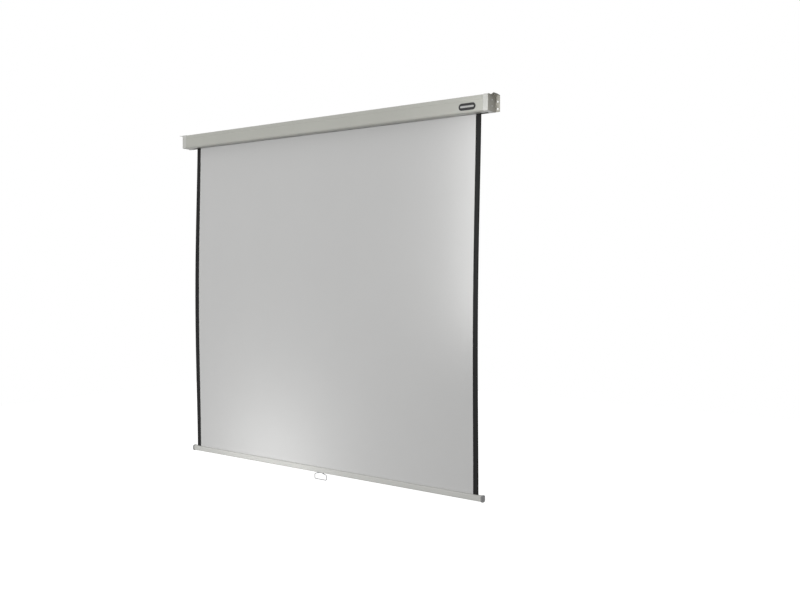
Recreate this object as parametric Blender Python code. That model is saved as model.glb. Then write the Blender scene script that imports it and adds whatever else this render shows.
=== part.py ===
"""A pull-down projection screen for a wall or a ceiling, drawn out to its full drop.

Metres, +Z up. X runs along the case, the wall stands at Y = 0 behind it and the
viewer is at -Y. The origin is the middle of the case's back, level with the roller.
"""

import math

import bmesh
import bpy
from mathutils import Vector

# Clearances
FIT = 0.0003  # between pieces that seat in or on each other
RUN_GAP = 0.0015  # between pieces that turn past each other
CUT_PAST = 0.010  # how far a cutter runs past what it cuts

# Sheet
SHEET_WIDTH = 2.000
SHEET_DROP = 1.821  # from the case's underside to the bar's top
SHEET_THICKNESS = 0.0005
SHEET_BOW = 0.0135  # how far the middle hangs forward of a plane
BORDER_WIDTH = 0.030
WRAP_TURNS = 1.75  # turns that stay on the roller
WRAP_GAP = 0.0005  # between one turn and the next

# Case
CASE_PAST_SHEET = 0.068  # from the sheet's edge to the case's end
CASE_DEPTH = 0.073
CASE_HEIGHT = 0.080  # over its end caps
CASE_WALL = 0.0010
CASE_LOWER_RADIUS = 0.010
CASE_UPPER_RADIUS = 0.004
CASE_BACK_RADIUS = 0.0025
GROOVE_BELOW_TOP = 0.025
GROOVE_WIDTH = 0.008
GROOVE_DEPTH = 0.0012
SLOT_FRONT = 0.013  # slot edge to sheet, in front of it
SLOT_BACK = 0.0095  # slot edge to sheet, behind it
HEM_HEIGHT = 0.006
HEM_RADIUS = 0.0020

# End caps
CAP_LENGTH = 0.0265
CAP_RISE = 0.002  # of the caps and brackets above the case
CAP_LOWER_RADIUS = 0.003
CAP_END_WALL = 0.0025
SPIGOT_LENGTH = 0.015
SPIGOT_WALL = 0.0018

# Mounting brackets
BRACKET_SHEET = 0.0015
EAR_WIDTH = 0.023
EAR_RISE = 0.001  # of its lower edge above the case's underside
FLANGE_WIDTH = 0.029
FLANGE_REAR_WIDTH = 0.022
FLANGE_ROOT_SETBACK = 0.028  # of its slanted front edge, behind the case's front
MOUNT_HOLE = 0.0090
EAR_HOLE_SPACING = 0.034
EAR_HOLE_DROP = 0.007  # of the pair's middle, below the roller's line
BRACKET_SCREW = 0.0035
BRACKET_SCREW_HEAD = 0.0075
BRACKET_SCREW_LENGTH = 0.010
BRACKET_SCREW_RADIUS = 0.0145  # from the roller's line to each screw

# Badge on the case's front
BADGE_LENGTH = 0.093
BADGE_HEIGHT = 0.034
BADGE_THICKNESS = 0.0014
BADGE_FROM_END = 0.113
BADGE_BELOW_AXIS = 0.011
BADGE_BAR_LENGTH = 0.075
BADGE_BAR_HEIGHT = 0.009
BADGE_BAR_THICKNESS = 0.0006

# Roller
ROLLER_DIAMETER = 0.036
ROLLER_WALL = 0.0012
ROLLER_PAST_SHEET = 0.012
PLUG_FLANGE = 0.003
PLUG_SPIGOT = 0.022
IDLE_PIN = 0.006

# Spring motor
SHAFT_DIAMETER = 0.008
SHAFT_ACROSS_FLATS = 0.005
SHAFT_IN_HOLDER = 0.014
SPRING_WIRE = 0.0022
SPRING_DIAMETER = 0.024
SPRING_TURNS = 36
SPRING_PITCH = 0.006
SPRING_FROM_PLUG = 0.006
COLLAR_LENGTH = 0.016
COLLAR_PIN = 0.0020
DRIVE_PLUG_LENGTH = 0.012

# Holders at the case's ends
HOLDER_BASE = 0.040
HOLDER_BASE_THICKNESS = 0.0030
HOLDER_BOSS = 0.020
BUSH_WALL = 0.0020
BUSH_LENGTH = 0.012

# Ratchet and pawl
RATCHET_DIAMETER = 0.019
RATCHET_NOTCH_DEPTH = 0.0033
RATCHET_NOTCHES = 4
RATCHET_RAMP_DEG = 60
RATCHET_WIDTH = 0.006
NOTCH_FACE_DEG = -55  # where the first notch's face stands at rest
PAWL_PIVOT_RADIUS = 0.014
PAWL_PIVOT_DEG = -100
PAWL_LENGTH = 0.0094
PAWL_HUB = 0.0023
PAWL_TIP = 0.0008
PAWL_REST_DEG = 22
PAWL_PIN = 0.0025
PAWL_PIN_SEAT = 0.004  # how deep the pin stands in the plug, past its flange
PAWL_STOP_RADIUS = 0.0010
PAWL_STOP_AT = 0.006  # along the pawl

# Bottom bar
BAR_PAST_SHEET = 0.0295
BAR_DEPTH = 0.0245
BAR_HEIGHT = 0.0300
BAR_WALL = 0.0012
BAR_RADIUS = 0.008
BAR_SLOT = 0.0035
BAR_CAP_LENGTH = 0.010
BAR_CAP_PROUD = 0.0022
BAR_SPIGOT = 0.010
HEM_ROD = 0.006

# Handle
CLIP_LENGTH = 0.042
CLIP_WIDTH = 0.014
CLIP_SHEET = 0.0012
CLIP_SCREW = 0.0030
CLIP_SCREW_HEAD = 0.0056
CLIP_SCREW_LENGTH = 0.0065
CLIP_SCREW_SPACING = 0.012
EYE_SPACING = 0.032
EYE_WIDTH = 0.006
EYE_WALL = 0.0013
WIRE = 0.0035
HANDLE_WIDTH = 0.084
HANDLE_DROP = 0.0335  # from the hinge line to the grip's middle
HANDLE_SHOULDER = 0.009
HANDLE_RADIUS = 0.006
WIRE_END = 0.0015  # past each eye

# Faceting
ARC_STEPS = 5
TURN_STEPS = 28
SCREW_STEPS = 16
HOLE_STEPS = 24
SPRING_STEPS = 8
WRAP_STEPS = 32
SHEET_ROWS = 24

# Places that follow from the sizes
CASE_END = SHEET_WIDTH / 2 + CASE_PAST_SHEET
CAP_OUTSIDE = CASE_END - BRACKET_SHEET - FIT
CAP_INSIDE = CAP_OUTSIDE - CAP_END_WALL
SEAM = CASE_END - BRACKET_SHEET - FIT - CAP_LENGTH
CASE_TOP = CASE_HEIGHT / 2
CASE_BOTTOM = -CASE_HEIGHT / 2
SHELL_TOP = CASE_TOP - CAP_RISE
ROLLER_Y = -CASE_DEPTH / 2
ROLLER_END = SHEET_WIDTH / 2 + ROLLER_PAST_SHEET
ROLLER_BORE = ROLLER_DIAMETER / 2 - ROLLER_WALL
WRAP_PITCH = SHEET_THICKNESS + WRAP_GAP
WRAP_RADIUS = ROLLER_DIAMETER / 2 + FIT + SHEET_THICKNESS + WRAP_TURNS * WRAP_PITCH
SHEET_Y = ROLLER_Y + WRAP_RADIUS - SHEET_THICKNESS / 2
SLOT_FRONT_Y = SHEET_Y - SLOT_FRONT
SLOT_BACK_Y = SHEET_Y + SLOT_BACK
BAR_TOP = CASE_BOTTOM - SHEET_DROP
BAR_END = SHEET_WIDTH / 2 + BAR_PAST_SHEET
FLANGE_FACE = ROLLER_END + FIT + PLUG_FLANGE
RATCHET_INSIDE = FLANGE_FACE + FIT
RATCHET_OUTSIDE = RATCHET_INSIDE + RATCHET_WIDTH
HOLDER_TIP = RATCHET_OUTSIDE + RUN_GAP
SHAFT_TIP = HOLDER_TIP + SHAFT_IN_HOLDER
SPRING_START = ROLLER_END - PLUG_SPIGOT - SPRING_FROM_PLUG
SPRING_END = SPRING_START - SPRING_TURNS * SPRING_PITCH
COLLAR_RADIUS = SPRING_DIAMETER / 2 * math.cos(math.pi / SPRING_STEPS) - SPRING_WIRE / 2 - FIT
CLIP_BOTTOM = -BAR_HEIGHT - FIT - CLIP_SHEET
EYE_RADIUS = WIRE / 2 + FIT + EYE_WALL
HINGE_DROP = CLIP_BOTTOM - EYE_RADIUS + CLIP_SHEET / 2
HEM_ROD_DROP = BAR_WALL + math.sqrt((HEM_ROD / 2 + FIT) ** 2 - (BAR_SLOT / 2) ** 2)
SHEET_END = BAR_TOP - HEM_ROD_DROP + HEM_ROD / 2 + FIT


def clear_scene():
    for obj in list(bpy.data.objects):
        bpy.data.objects.remove(obj, do_unlink=True)


def finish(name, colour, roughness, metallic=0.0):
    material = bpy.data.materials.new(name)
    material.use_nodes = True
    shader = material.node_tree.nodes["Principled BSDF"]
    shader.inputs["Base Color"].default_value = (*colour, 1.0)
    shader.inputs["Roughness"].default_value = roughness
    shader.inputs["Metallic"].default_value = metallic
    material.diffuse_color = (*colour, 1.0)
    return material


def add_frame(name, place, parent=None):
    """An empty on a joint's axis, or on a line that several pieces share."""
    empty = bpy.data.objects.new(name, None)
    empty.location = place
    empty.parent = parent
    bpy.context.scene.collection.objects.link(empty)
    return empty


def link(name, data, parent):
    obj = bpy.data.objects.new(name, data)
    obj.parent = parent
    bpy.context.scene.collection.objects.link(obj)
    return obj


def add_solid(name, shape, material, parent=None, sharp_deg=35):
    bmesh.ops.recalc_face_normals(shape, faces=shape.faces)
    mesh = bpy.data.meshes.new(name)
    shape.to_mesh(mesh)
    shape.free()
    mesh.materials.append(material)
    mesh.shade_smooth()
    mesh.set_sharp_from_angle(angle=math.radians(sharp_deg))
    return link(name, mesh, parent)


def add_helper(name, shape, parent=None):
    """A shape that only cuts or extends another piece."""
    bmesh.ops.recalc_face_normals(shape, faces=shape.faces)
    mesh = bpy.data.meshes.new(name)
    shape.to_mesh(mesh)
    shape.free()
    obj = link(name, mesh, parent)
    obj.hide_render = True
    obj.display_type = "WIRE"
    return obj


def combine(target, helper, operation):
    modifier = target.modifiers.new(helper.name, "BOOLEAN")
    modifier.operation = operation
    modifier.solver = "EXACT"
    modifier.object = helper


def filleted(corners, closed):
    """The outline through corners (y, z, radius), each rounded by its radius."""
    points = []
    last = len(corners) - 1
    for i, (y, z, radius) in enumerate(corners):
        here = Vector((y, z))
        if radius <= 0 or (not closed and i in (0, last)):
            points.append(here)
            continue
        before = (Vector(corners[i - 1][:2]) - here).normalized()
        after = (Vector(corners[(i + 1) % len(corners)][:2]) - here).normalized()
        half = before.angle(after) / 2
        centre = here + (before + after).normalized() * radius / math.sin(half)
        first = here + before * radius / math.tan(half) - centre
        final = here + after * radius / math.tan(half) - centre
        turn = math.atan2(first.x * final.y - first.y * final.x, first.dot(final))
        for step in range(ARC_STEPS + 1):
            angle = math.atan2(first.y, first.x) + turn * step / ARC_STEPS
            points.append(centre + Vector((math.cos(angle), math.sin(angle))) * radius)
    return points


def moved_right(corners, distance, closed):
    """The corners of a path this far to the right of the given one."""
    found = []
    last = len(corners) - 1
    for i, (y, z, radius) in enumerate(corners):
        here = Vector((y, z))
        ahead = Vector(corners[(i + 1) % len(corners)][:2]) - here
        behind = here - Vector(corners[i - 1][:2])
        if not closed and i == 0:
            behind = ahead
        if not closed and i == last:
            ahead = behind
        ahead, behind = ahead.normalized(), behind.normalized()
        right_ahead = Vector((ahead.y, -ahead.x))
        right_behind = Vector((behind.y, -behind.x))
        shift = (right_ahead + right_behind) / (1 + right_ahead.dot(right_behind))
        place = here + shift * distance
        left_turn = behind.x * ahead.y - behind.y * ahead.x > 0
        if radius > 0:
            radius += distance if left_turn else -distance
        found.append((place.x, place.y, radius))
    return found


def prism(outline, x_from, x_to):
    """A closed (y, z) outline extended along X."""
    shape = bmesh.new()
    ends = [[shape.verts.new((x, y, z)) for y, z in outline] for x in (x_from, x_to)]
    shape.faces.new(ends[0])
    shape.faces.new(ends[1])
    for i in range(len(outline)):
        j = (i + 1) % len(outline)
        shape.faces.new((ends[0][i], ends[0][j], ends[1][j], ends[1][i]))
    return shape


def walled(outside, inside, x_from, x_to):
    """An open (y, z) path and the path of its other face, as a bent sheet along X."""
    shape = bmesh.new()
    grid = [
        [[shape.verts.new((x, y, z)) for y, z in path] for x in (x_from, x_to)]
        for path in (outside, inside)
    ]
    last = len(outside) - 1
    for i in range(last):
        for near, far in grid:
            shape.faces.new((near[i], near[i + 1], far[i + 1], far[i]))
        for end in (0, 1):
            outer, inner = grid[0][end], grid[1][end]
            shape.faces.new((outer[i], outer[i + 1], inner[i + 1], inner[i]))
    for i in (0, last):
        shape.faces.new((grid[0][0][i], grid[0][1][i], grid[1][1][i], grid[1][0][i]))
    return shape


def turned(profile, steps=TURN_STEPS, ring=False):
    """(x, radius) points turned about X. A ring's profile closes on itself."""
    shape = bmesh.new()
    rows = []
    for x, radius in profile:
        if radius == 0:
            rows.append([shape.verts.new((x, 0, 0))] * steps)
            continue
        angles = [math.tau * (k + 0.5) / steps for k in range(steps)]
        rows.append(
            [shape.verts.new((x, radius * math.cos(a), radius * math.sin(a))) for a in angles]
        )
    pairs = list(zip(rows, rows[1:]))
    if ring:
        pairs.append((rows[-1], rows[0]))
    for lower, upper in pairs:
        for k in range(steps):
            j = (k + 1) % steps
            corners = (lower[k], lower[j], upper[j], upper[k])
            shape.faces.new(list(dict.fromkeys(corners)))
    return shape


def tube_ring(x_from, x_to, outer, inner, steps=TURN_STEPS):
    profile = [(x_from, inner), (x_from, outer), (x_to, outer), (x_to, inner)]
    return turned(profile, steps, ring=True)


def rod(x_from, x_to, radius, steps=TURN_STEPS):
    return turned([(x_from, 0), (x_from, radius), (x_to, radius), (x_to, 0)], steps)


def box(x, y, z):
    """A box between the pairs x, y and z."""
    outline = [(y[0], z[0]), (y[1], z[0]), (y[1], z[1]), (y[0], z[1])]
    return prism(outline, *x)


def turn_shape(shape, axis):
    """A quarter turn about an axis, or, for "corner", a third of a turn: X to Z, Y to X, Z to Y."""
    rotation = {
        "Y": lambda v: (v.z, v.y, -v.x),
        "Z": lambda v: (-v.y, v.x, v.z),
        "corner": lambda v: (v.y, v.z, v.x),
    }[axis]
    for vert in shape.verts:
        vert.co = rotation(vert.co)
    return shape


def shift_shape(shape, offset):
    bmesh.ops.translate(shape, verts=shape.verts, vec=offset)
    return shape


def circle(radius):
    """A circle, as (y, z) points."""
    angles = [math.tau * k / TURN_STEPS for k in range(TURN_STEPS)]
    return [(radius * math.cos(a), radius * math.sin(a)) for a in angles]


def flatted(radius, across):
    """A circle with two upright flats, as (y, z) points."""
    half_angle = math.asin(across / 2 / radius)
    points = []
    for side in (1, -1):
        for step in range(ARC_STEPS + 1):
            angle = side * math.pi / 2 - half_angle + 2 * half_angle * step / ARC_STEPS
            points.append((radius * math.cos(angle), radius * math.sin(angle)))
    return points


def front_corners(top, lower_radius):
    """The front of the case or of a cap, from its lower edge up, groove and all."""
    groove = CASE_TOP - GROOVE_BELOW_TOP
    return [
        (-CASE_DEPTH, CASE_BOTTOM, lower_radius),
        (-CASE_DEPTH, groove - GROOVE_WIDTH / 2, 0),
        (-CASE_DEPTH + GROOVE_DEPTH, groove - GROOVE_WIDTH / 5, 0),
        (-CASE_DEPTH + GROOVE_DEPTH, groove + GROOVE_WIDTH / 5, 0),
        (-CASE_DEPTH, groove + GROOVE_WIDTH / 2, 0),
        (-CASE_DEPTH, top, CASE_UPPER_RADIUS),
    ]


def case_corners():
    """The case's rolled section, from one hem of its slot round to the other."""
    return [
        (SLOT_FRONT_Y, CASE_BOTTOM + HEM_HEIGHT, 0),
        (SLOT_FRONT_Y, CASE_BOTTOM, HEM_RADIUS),
        *front_corners(SHELL_TOP, CASE_LOWER_RADIUS),
        (0, SHELL_TOP, CASE_BACK_RADIUS),
        (0, CASE_BOTTOM, CASE_BACK_RADIUS),
        (SLOT_BACK_Y, CASE_BOTTOM, HEM_RADIUS),
        (SLOT_BACK_Y, CASE_BOTTOM + HEM_HEIGHT, 0),
    ]


def end_corners(top, lower_radius):
    """The same section closed at the bottom, as the end caps have it."""
    return [
        *front_corners(top, lower_radius),
        (0, top, CASE_BACK_RADIUS),
        (0, CASE_BOTTOM, CASE_BACK_RADIUS),
    ]


def make_case(paint):
    corners = case_corners()
    outside = filleted(corners, closed=False)
    inside = filleted(moved_right(corners, CASE_WALL, closed=False), closed=False)
    half = SEAM - FIT
    return add_solid("case_shell", walled(outside, inside, -half, half), paint)


def screw_places():
    """Where the two screws of each end go through bracket, cap and holder, as (y, z)."""
    return {"upper": (ROLLER_Y, BRACKET_SCREW_RADIUS), "lower": (ROLLER_Y, -BRACKET_SCREW_RADIUS)}


def screw_bores(side, name):
    """One helper for each screw of an end, as wide as a clearance hole."""
    reach = (side * (CASE_END + CUT_PAST), side * (HOLDER_TIP - CUT_PAST))
    bores = []
    for level, (y, z) in screw_places().items():
        bore = rod(*reach, BRACKET_SCREW / 2 + FIT, SCREW_STEPS)
        bores.append(add_helper(f"bore_{name}_{level}", shift_shape(bore, (0, y, z))))
    return bores


def make_end_cap(side, name, plastic, bores):
    corners = end_corners(CASE_TOP, CAP_LOWER_RADIUS)
    in_case = end_corners(SHELL_TOP, CASE_LOWER_RADIUS)
    spigot = moved_right(in_case, CASE_WALL + FIT, closed=True)
    hollow = moved_right(spigot, SPIGOT_WALL, closed=True)
    spigot_end = SEAM - SPIGOT_LENGTH
    cap = add_solid(
        f"end_cap_{name}", prism(filleted(corners, True), side * SEAM, side * CAP_OUTSIDE), plastic
    )
    inner = prism(filleted(spigot, True), side * spigot_end, side * (SEAM + CAP_END_WALL))
    combine(cap, add_helper(f"spigot_{name}", inner), "UNION")
    cavity = prism(filleted(hollow, True), side * (spigot_end - CUT_PAST), side * CAP_INSIDE)
    combine(cap, add_helper(f"cap_hollow_{name}", cavity), "DIFFERENCE")
    room = CASE_WALL + FIT
    notch = box(
        (side * (spigot_end - CUT_PAST), side * SEAM),
        (SLOT_FRONT_Y - room, SLOT_BACK_Y + room),
        (CASE_BOTTOM - CUT_PAST, CASE_BOTTOM + HEM_HEIGHT + SPIGOT_WALL),
    )
    combine(cap, add_helper(f"hem_notch_{name}", notch), "DIFFERENCE")
    for bore in bores:
        combine(cap, bore, "DIFFERENCE")
    return cap


def ear_hole_heights():
    return (EAR_HOLE_SPACING / 2 - EAR_HOLE_DROP, -EAR_HOLE_SPACING / 2 - EAR_HOLE_DROP)


def make_bracket(side, name, paint, bores):
    """A plate on the case's end, with an ear bent out at the wall and one at the ceiling."""
    buried = BRACKET_SHEET / 2
    outline = [
        (-CASE_DEPTH, CASE_BOTTOM, CAP_LOWER_RADIUS),
        (-CASE_DEPTH, CASE_TOP - buried, CASE_UPPER_RADIUS),
        (-buried, CASE_TOP - buried, 0),
        (-buried, CASE_BOTTOM, CASE_BACK_RADIUS),
    ]
    plate = prism(filleted(outline, True), side * (CASE_END - BRACKET_SHEET), side * CASE_END)
    bracket = add_solid(f"mount_bracket_{name}", plate, paint)
    inner = CASE_END - buried
    ear = box(
        (side * inner, side * (CASE_END + EAR_WIDTH)),
        (-BRACKET_SHEET, 0),
        (CASE_BOTTOM + EAR_RISE, CASE_TOP - buried),
    )
    combine(bracket, add_helper(f"ear_{name}", ear), "UNION")
    outline = [
        (inner, -CASE_DEPTH + FLANGE_ROOT_SETBACK),
        (CASE_END + FLANGE_WIDTH, -CASE_DEPTH),
        (CASE_END + FLANGE_WIDTH, ROLLER_Y),
        (CASE_END + FLANGE_REAR_WIDTH, -buried),
        (inner, -buried),
    ]
    flange = turn_shape(prism(outline, CASE_TOP - BRACKET_SHEET, CASE_TOP), "corner")
    if side < 0:
        bmesh.ops.scale(flange, verts=flange.verts, vec=(-1, 1, 1))
    combine(bracket, add_helper(f"flange_{name}", flange), "UNION")
    for level, z in zip(("upper", "lower"), ear_hole_heights()):
        hole = turn_shape(rod(-CUT_PAST, CUT_PAST, MOUNT_HOLE / 2, HOLE_STEPS), "Z")
        shift_shape(hole, (side * (CASE_END + EAR_WIDTH / 2), 0, z))
        combine(bracket, add_helper(f"ear_hole_{name}_{level}", hole), "DIFFERENCE")
    hole = turn_shape(rod(-CUT_PAST, CUT_PAST, MOUNT_HOLE / 2, HOLE_STEPS), "Y")
    shift_shape(hole, (side * (CASE_END + FLANGE_WIDTH / 2), ROLLER_Y, CASE_TOP))
    combine(bracket, add_helper(f"flange_hole_{name}", hole), "DIFFERENCE")
    for bore in bores:
        combine(bracket, bore, "DIFFERENCE")
    return bracket


def pan_screw(head_at, direction, head, shank, length):
    """A pan head standing on x = head_at, its shank running the other way."""
    rise = head * 0.32
    profile = [
        (head_at - direction * length, 0),
        (head_at - direction * length, shank * 0.32),
        (head_at - direction * (length - shank * 0.5), shank / 2),
        (head_at, shank / 2),
        (head_at, head / 2),
        (head_at + direction * rise * 0.45, head / 2),
        (head_at + direction * rise * 0.85, head * 0.36),
        (head_at + direction * rise, head * 0.2),
        (head_at + direction * rise, 0),
    ]
    return turned(profile, SCREW_STEPS)


def cross_slot(head_at, direction, head):
    """The two bars of a cross recess, as shapes."""
    rise = head * 0.32
    deep, high = head_at + direction * rise * 0.35, head_at + direction * rise * 2
    arm, width = head * 0.28, head * 0.075
    return [
        box((deep, high), (-arm, arm), (-width, width)),
        box((deep, high), (-width, width), (-arm, arm)),
    ]


def make_bracket_screws(side, name, steel):
    head_at = side * (CASE_END + FIT)
    for level, (y, z) in screw_places().items():
        shape = pan_screw(head_at, side, BRACKET_SCREW_HEAD, BRACKET_SCREW, BRACKET_SCREW_LENGTH)
        screw = add_solid(
            f"bracket_screw_{name}_{level}", shift_shape(shape, (0, y, z)), steel, sharp_deg=50
        )
        for number, slot in enumerate(cross_slot(head_at, side, BRACKET_SCREW_HEAD)):
            helper = add_helper(f"recess_{name}_{level}_{number}", shift_shape(slot, (0, y, z)))
            combine(screw, helper, "DIFFERENCE")


def stadium(length, height, y_from, y_to, x_middle, z_middle):
    """A plate with half-round ends, standing in the XZ plane."""
    radius = height / 2
    shape = bmesh.new()
    steps = ARC_STEPS * 3
    outline = []
    for end in (1, -1):
        for step in range(steps + 1):
            angle = -math.pi / 2 + math.pi * step / steps
            outline.append(
                (
                    x_middle + end * (length / 2 - radius + radius * math.cos(angle)),
                    z_middle + end * radius * math.sin(angle),
                )
            )
    rings = [[shape.verts.new((x, y, z)) for x, z in outline] for y in (y_from, y_to)]
    shape.faces.new(rings[0])
    shape.faces.new(rings[1])
    for i in range(len(outline)):
        j = (i + 1) % len(outline)
        shape.faces.new((rings[0][i], rings[0][j], rings[1][j], rings[1][i]))
    return shape


def make_badge(dark, silver):
    """A plain oval badge near the case's right end, with a plain bar across it."""
    middle_x = CASE_END - BADGE_FROM_END
    back = -CASE_DEPTH - FIT
    front = back - BADGE_THICKNESS
    place = (middle_x, -BADGE_BELOW_AXIS)
    plate = stadium(BADGE_LENGTH, BADGE_HEIGHT, back, front, *place)
    add_solid("badge_plate", plate, dark)
    bar_back = front - FIT
    bar = stadium(
        BADGE_BAR_LENGTH, BADGE_BAR_HEIGHT, bar_back, bar_back - BADGE_BAR_THICKNESS, *place
    )
    add_solid("badge_bar", bar, silver)


def make_holder(side, name, plastic, line, bore_outline, bores):
    """A boss on the inside of an end cap that carries one end of the roller."""
    back = side * (CAP_INSIDE - FIT)
    step = side * (CAP_INSIDE - FIT - HOLDER_BASE_THICKNESS)
    tip = side * HOLDER_TIP
    slope = side * (CAP_INSIDE - FIT - HOLDER_BASE_THICKNESS * 2.5)
    profile = [
        (back, 0),
        (back, HOLDER_BASE / 2),
        (step, HOLDER_BASE / 2),
        (slope, HOLDER_BOSS / 2),
        (tip, HOLDER_BOSS / 2),
        (tip, 0),
    ]
    holder = add_solid(name, turned(profile), plastic, line)
    deep = side * (SHAFT_TIP + FIT)
    cutter = add_helper(f"{name}_bore", prism(bore_outline, side * (HOLDER_TIP - CUT_PAST), deep), line)
    combine(holder, cutter, "DIFFERENCE")
    for bore in bores:
        combine(holder, bore, "DIFFERENCE")


def make_shaft(steel, line):
    """The spring's still shaft: round inside the roller, flatted from the ratchet out."""
    inner_end = -(SPRING_END - DRIVE_PLUG_LENGTH - SPRING_WIRE - FIT)
    round_end = -(FLANGE_FACE - PLUG_FLANGE / 3)
    shaft = add_solid("spring_shaft", rod(round_end, inner_end, SHAFT_DIAMETER / 2), steel, line)
    flats = prism(
        flatted(SHAFT_DIAMETER / 2, SHAFT_ACROSS_FLATS), -SHAFT_TIP, round_end + PLUG_FLANGE
    )
    combine(shaft, add_helper("shaft_flats", flats, line), "UNION")
    return shaft


def make_collar(shaft, plastic, steel, line):
    """The collar that holds the spring's still end on the shaft, and its cross pin."""
    outer = -(SPRING_START + SPRING_WIRE)
    inner = outer + COLLAR_LENGTH
    ring = tube_ring(outer, inner, COLLAR_RADIUS, SHAFT_DIAMETER / 2 + FIT)
    collar = add_solid("spring_fixed_collar", ring, plastic, line)
    middle = (outer + inner) / 2
    pin_length = COLLAR_RADIUS - FIT
    hole = turn_shape(rod(-COLLAR_RADIUS * 1.2, COLLAR_RADIUS * 1.2, COLLAR_PIN / 2 + FIT, 12), "Y")
    helper = add_helper("collar_pin_hole", shift_shape(hole, (middle, 0, 0)), line)
    combine(collar, helper, "DIFFERENCE")
    combine(shaft, helper, "DIFFERENCE")
    pin = turn_shape(rod(-pin_length, pin_length, COLLAR_PIN / 2, 12), "Y")
    add_solid("collar_pin", shift_shape(pin, (middle, 0, 0)), steel, line)


def tube_along(name, points, diameter, sides, material, parent):
    """A wire along the points, with filled ends."""
    curve = bpy.data.curves.new(name, "CURVE")
    curve.dimensions = "3D"
    curve.bevel_depth = diameter / 2
    curve.bevel_resolution = sides
    curve.use_fill_caps = True
    spline = curve.splines.new("POLY")
    spline.points.add(len(points) - 1)
    for place, point in zip(spline.points, points):
        place.co = (*point, 1.0)
    curve.materials.append(material)
    return link(name, curve, parent)


def spring_points():
    count = SPRING_TURNS * SPRING_STEPS
    radius = SPRING_DIAMETER / 2
    points = []
    for i in range(count + 1):
        angle = math.tau * i / SPRING_STEPS
        along = -SPRING_START + SPRING_PITCH * i / SPRING_STEPS
        points.append(Vector((along, radius * math.cos(angle), radius * math.sin(angle))))
    return points


def least_gap(points, diameter, skip):
    """The smallest clear distance between stretches of a wire at least skip points apart."""
    nearest = min(
        (points[i] - points[j]).length
        for i in range(len(points))
        for j in range(i + skip, min(i + 2 * SPRING_STEPS, len(points)))
    )
    return nearest - diameter


def make_spring(steel, line):
    points = spring_points()
    tube_along("torsion_spring", points, SPRING_WIRE, 1, steel, line)
    gap = least_gap(points, SPRING_WIRE, SPRING_STEPS - 1)
    print(f"torsion spring: least gap between turns {gap * 1000:.2f} mm")


def ratchet_outline():
    outer = RATCHET_DIAMETER / 2
    inner = outer - RATCHET_NOTCH_DEPTH
    pitch = 360 / RATCHET_NOTCHES
    points = []
    for notch in range(RATCHET_NOTCHES):
        face = NOTCH_FACE_DEG + notch * pitch
        start = face - RATCHET_RAMP_DEG
        for step in range(ARC_STEPS + 1):
            share = step / ARC_STEPS
            radius = outer + (inner - outer) * share
            points.append((radius, start + RATCHET_RAMP_DEG * share))
        land = pitch - RATCHET_RAMP_DEG
        for step in range(ARC_STEPS):
            points.append((outer, face + land * step / ARC_STEPS))
    return [
        (radius * math.cos(math.radians(deg)), radius * math.sin(math.radians(deg)))
        for radius, deg in points
    ]


def make_ratchet(steel, line):
    ratchet = add_solid(
        "ratchet_wheel", prism(ratchet_outline(), -RATCHET_OUTSIDE, -RATCHET_INSIDE), steel, line
    )
    hole = prism(
        flatted(SHAFT_DIAMETER / 2 + FIT, SHAFT_ACROSS_FLATS + 2 * FIT),
        -RATCHET_OUTSIDE - CUT_PAST,
        -RATCHET_INSIDE + CUT_PAST,
    )
    combine(ratchet, add_helper("ratchet_bore", hole, line), "DIFFERENCE")


def pawl_pivot():
    angle = math.radians(PAWL_PIVOT_DEG)
    return (PAWL_PIVOT_RADIUS * math.cos(angle), PAWL_PIVOT_RADIUS * math.sin(angle))


def pawl_point(along, across):
    """A point of the pawl at rest, from its pivot, as (y, z)."""
    angle = math.radians(PAWL_REST_DEG)
    return (
        along * math.cos(angle) - across * math.sin(angle),
        along * math.sin(angle) + across * math.cos(angle),
    )


def make_pawl(steel, pivot):
    outline = [pawl_point(PAWL_LENGTH, PAWL_TIP)]
    for step in range(2 * ARC_STEPS + 1):
        angle = math.pi / 2 + math.pi * step / (2 * ARC_STEPS)
        outline.append(pawl_point(PAWL_HUB * math.cos(angle), PAWL_HUB * math.sin(angle)))
    outline.append(pawl_point(PAWL_LENGTH, -PAWL_TIP))
    inside, outside = RATCHET_INSIDE + FIT, RATCHET_OUTSIDE - FIT
    pawl = add_solid("lock_pawl", prism(outline, -outside, -inside), steel, pivot)
    hole = rod(-outside - CUT_PAST, -inside + CUT_PAST, PAWL_PIN / 2 + FIT, 12)
    combine(pawl, add_helper("pawl_bore", hole, pivot), "DIFFERENCE")


def plug_profile(side, spigot_radius):
    """Half of a roller plug: a flange on the tube's end and a spigot in its bore."""
    face, seat = side * FLANGE_FACE, side * (ROLLER_END + FIT)
    inner = side * (ROLLER_END - PLUG_SPIGOT)
    outer = ROLLER_DIAMETER / 2
    return [(face, outer), (seat, outer), (seat, spigot_radius), (inner, spigot_radius)]


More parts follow.
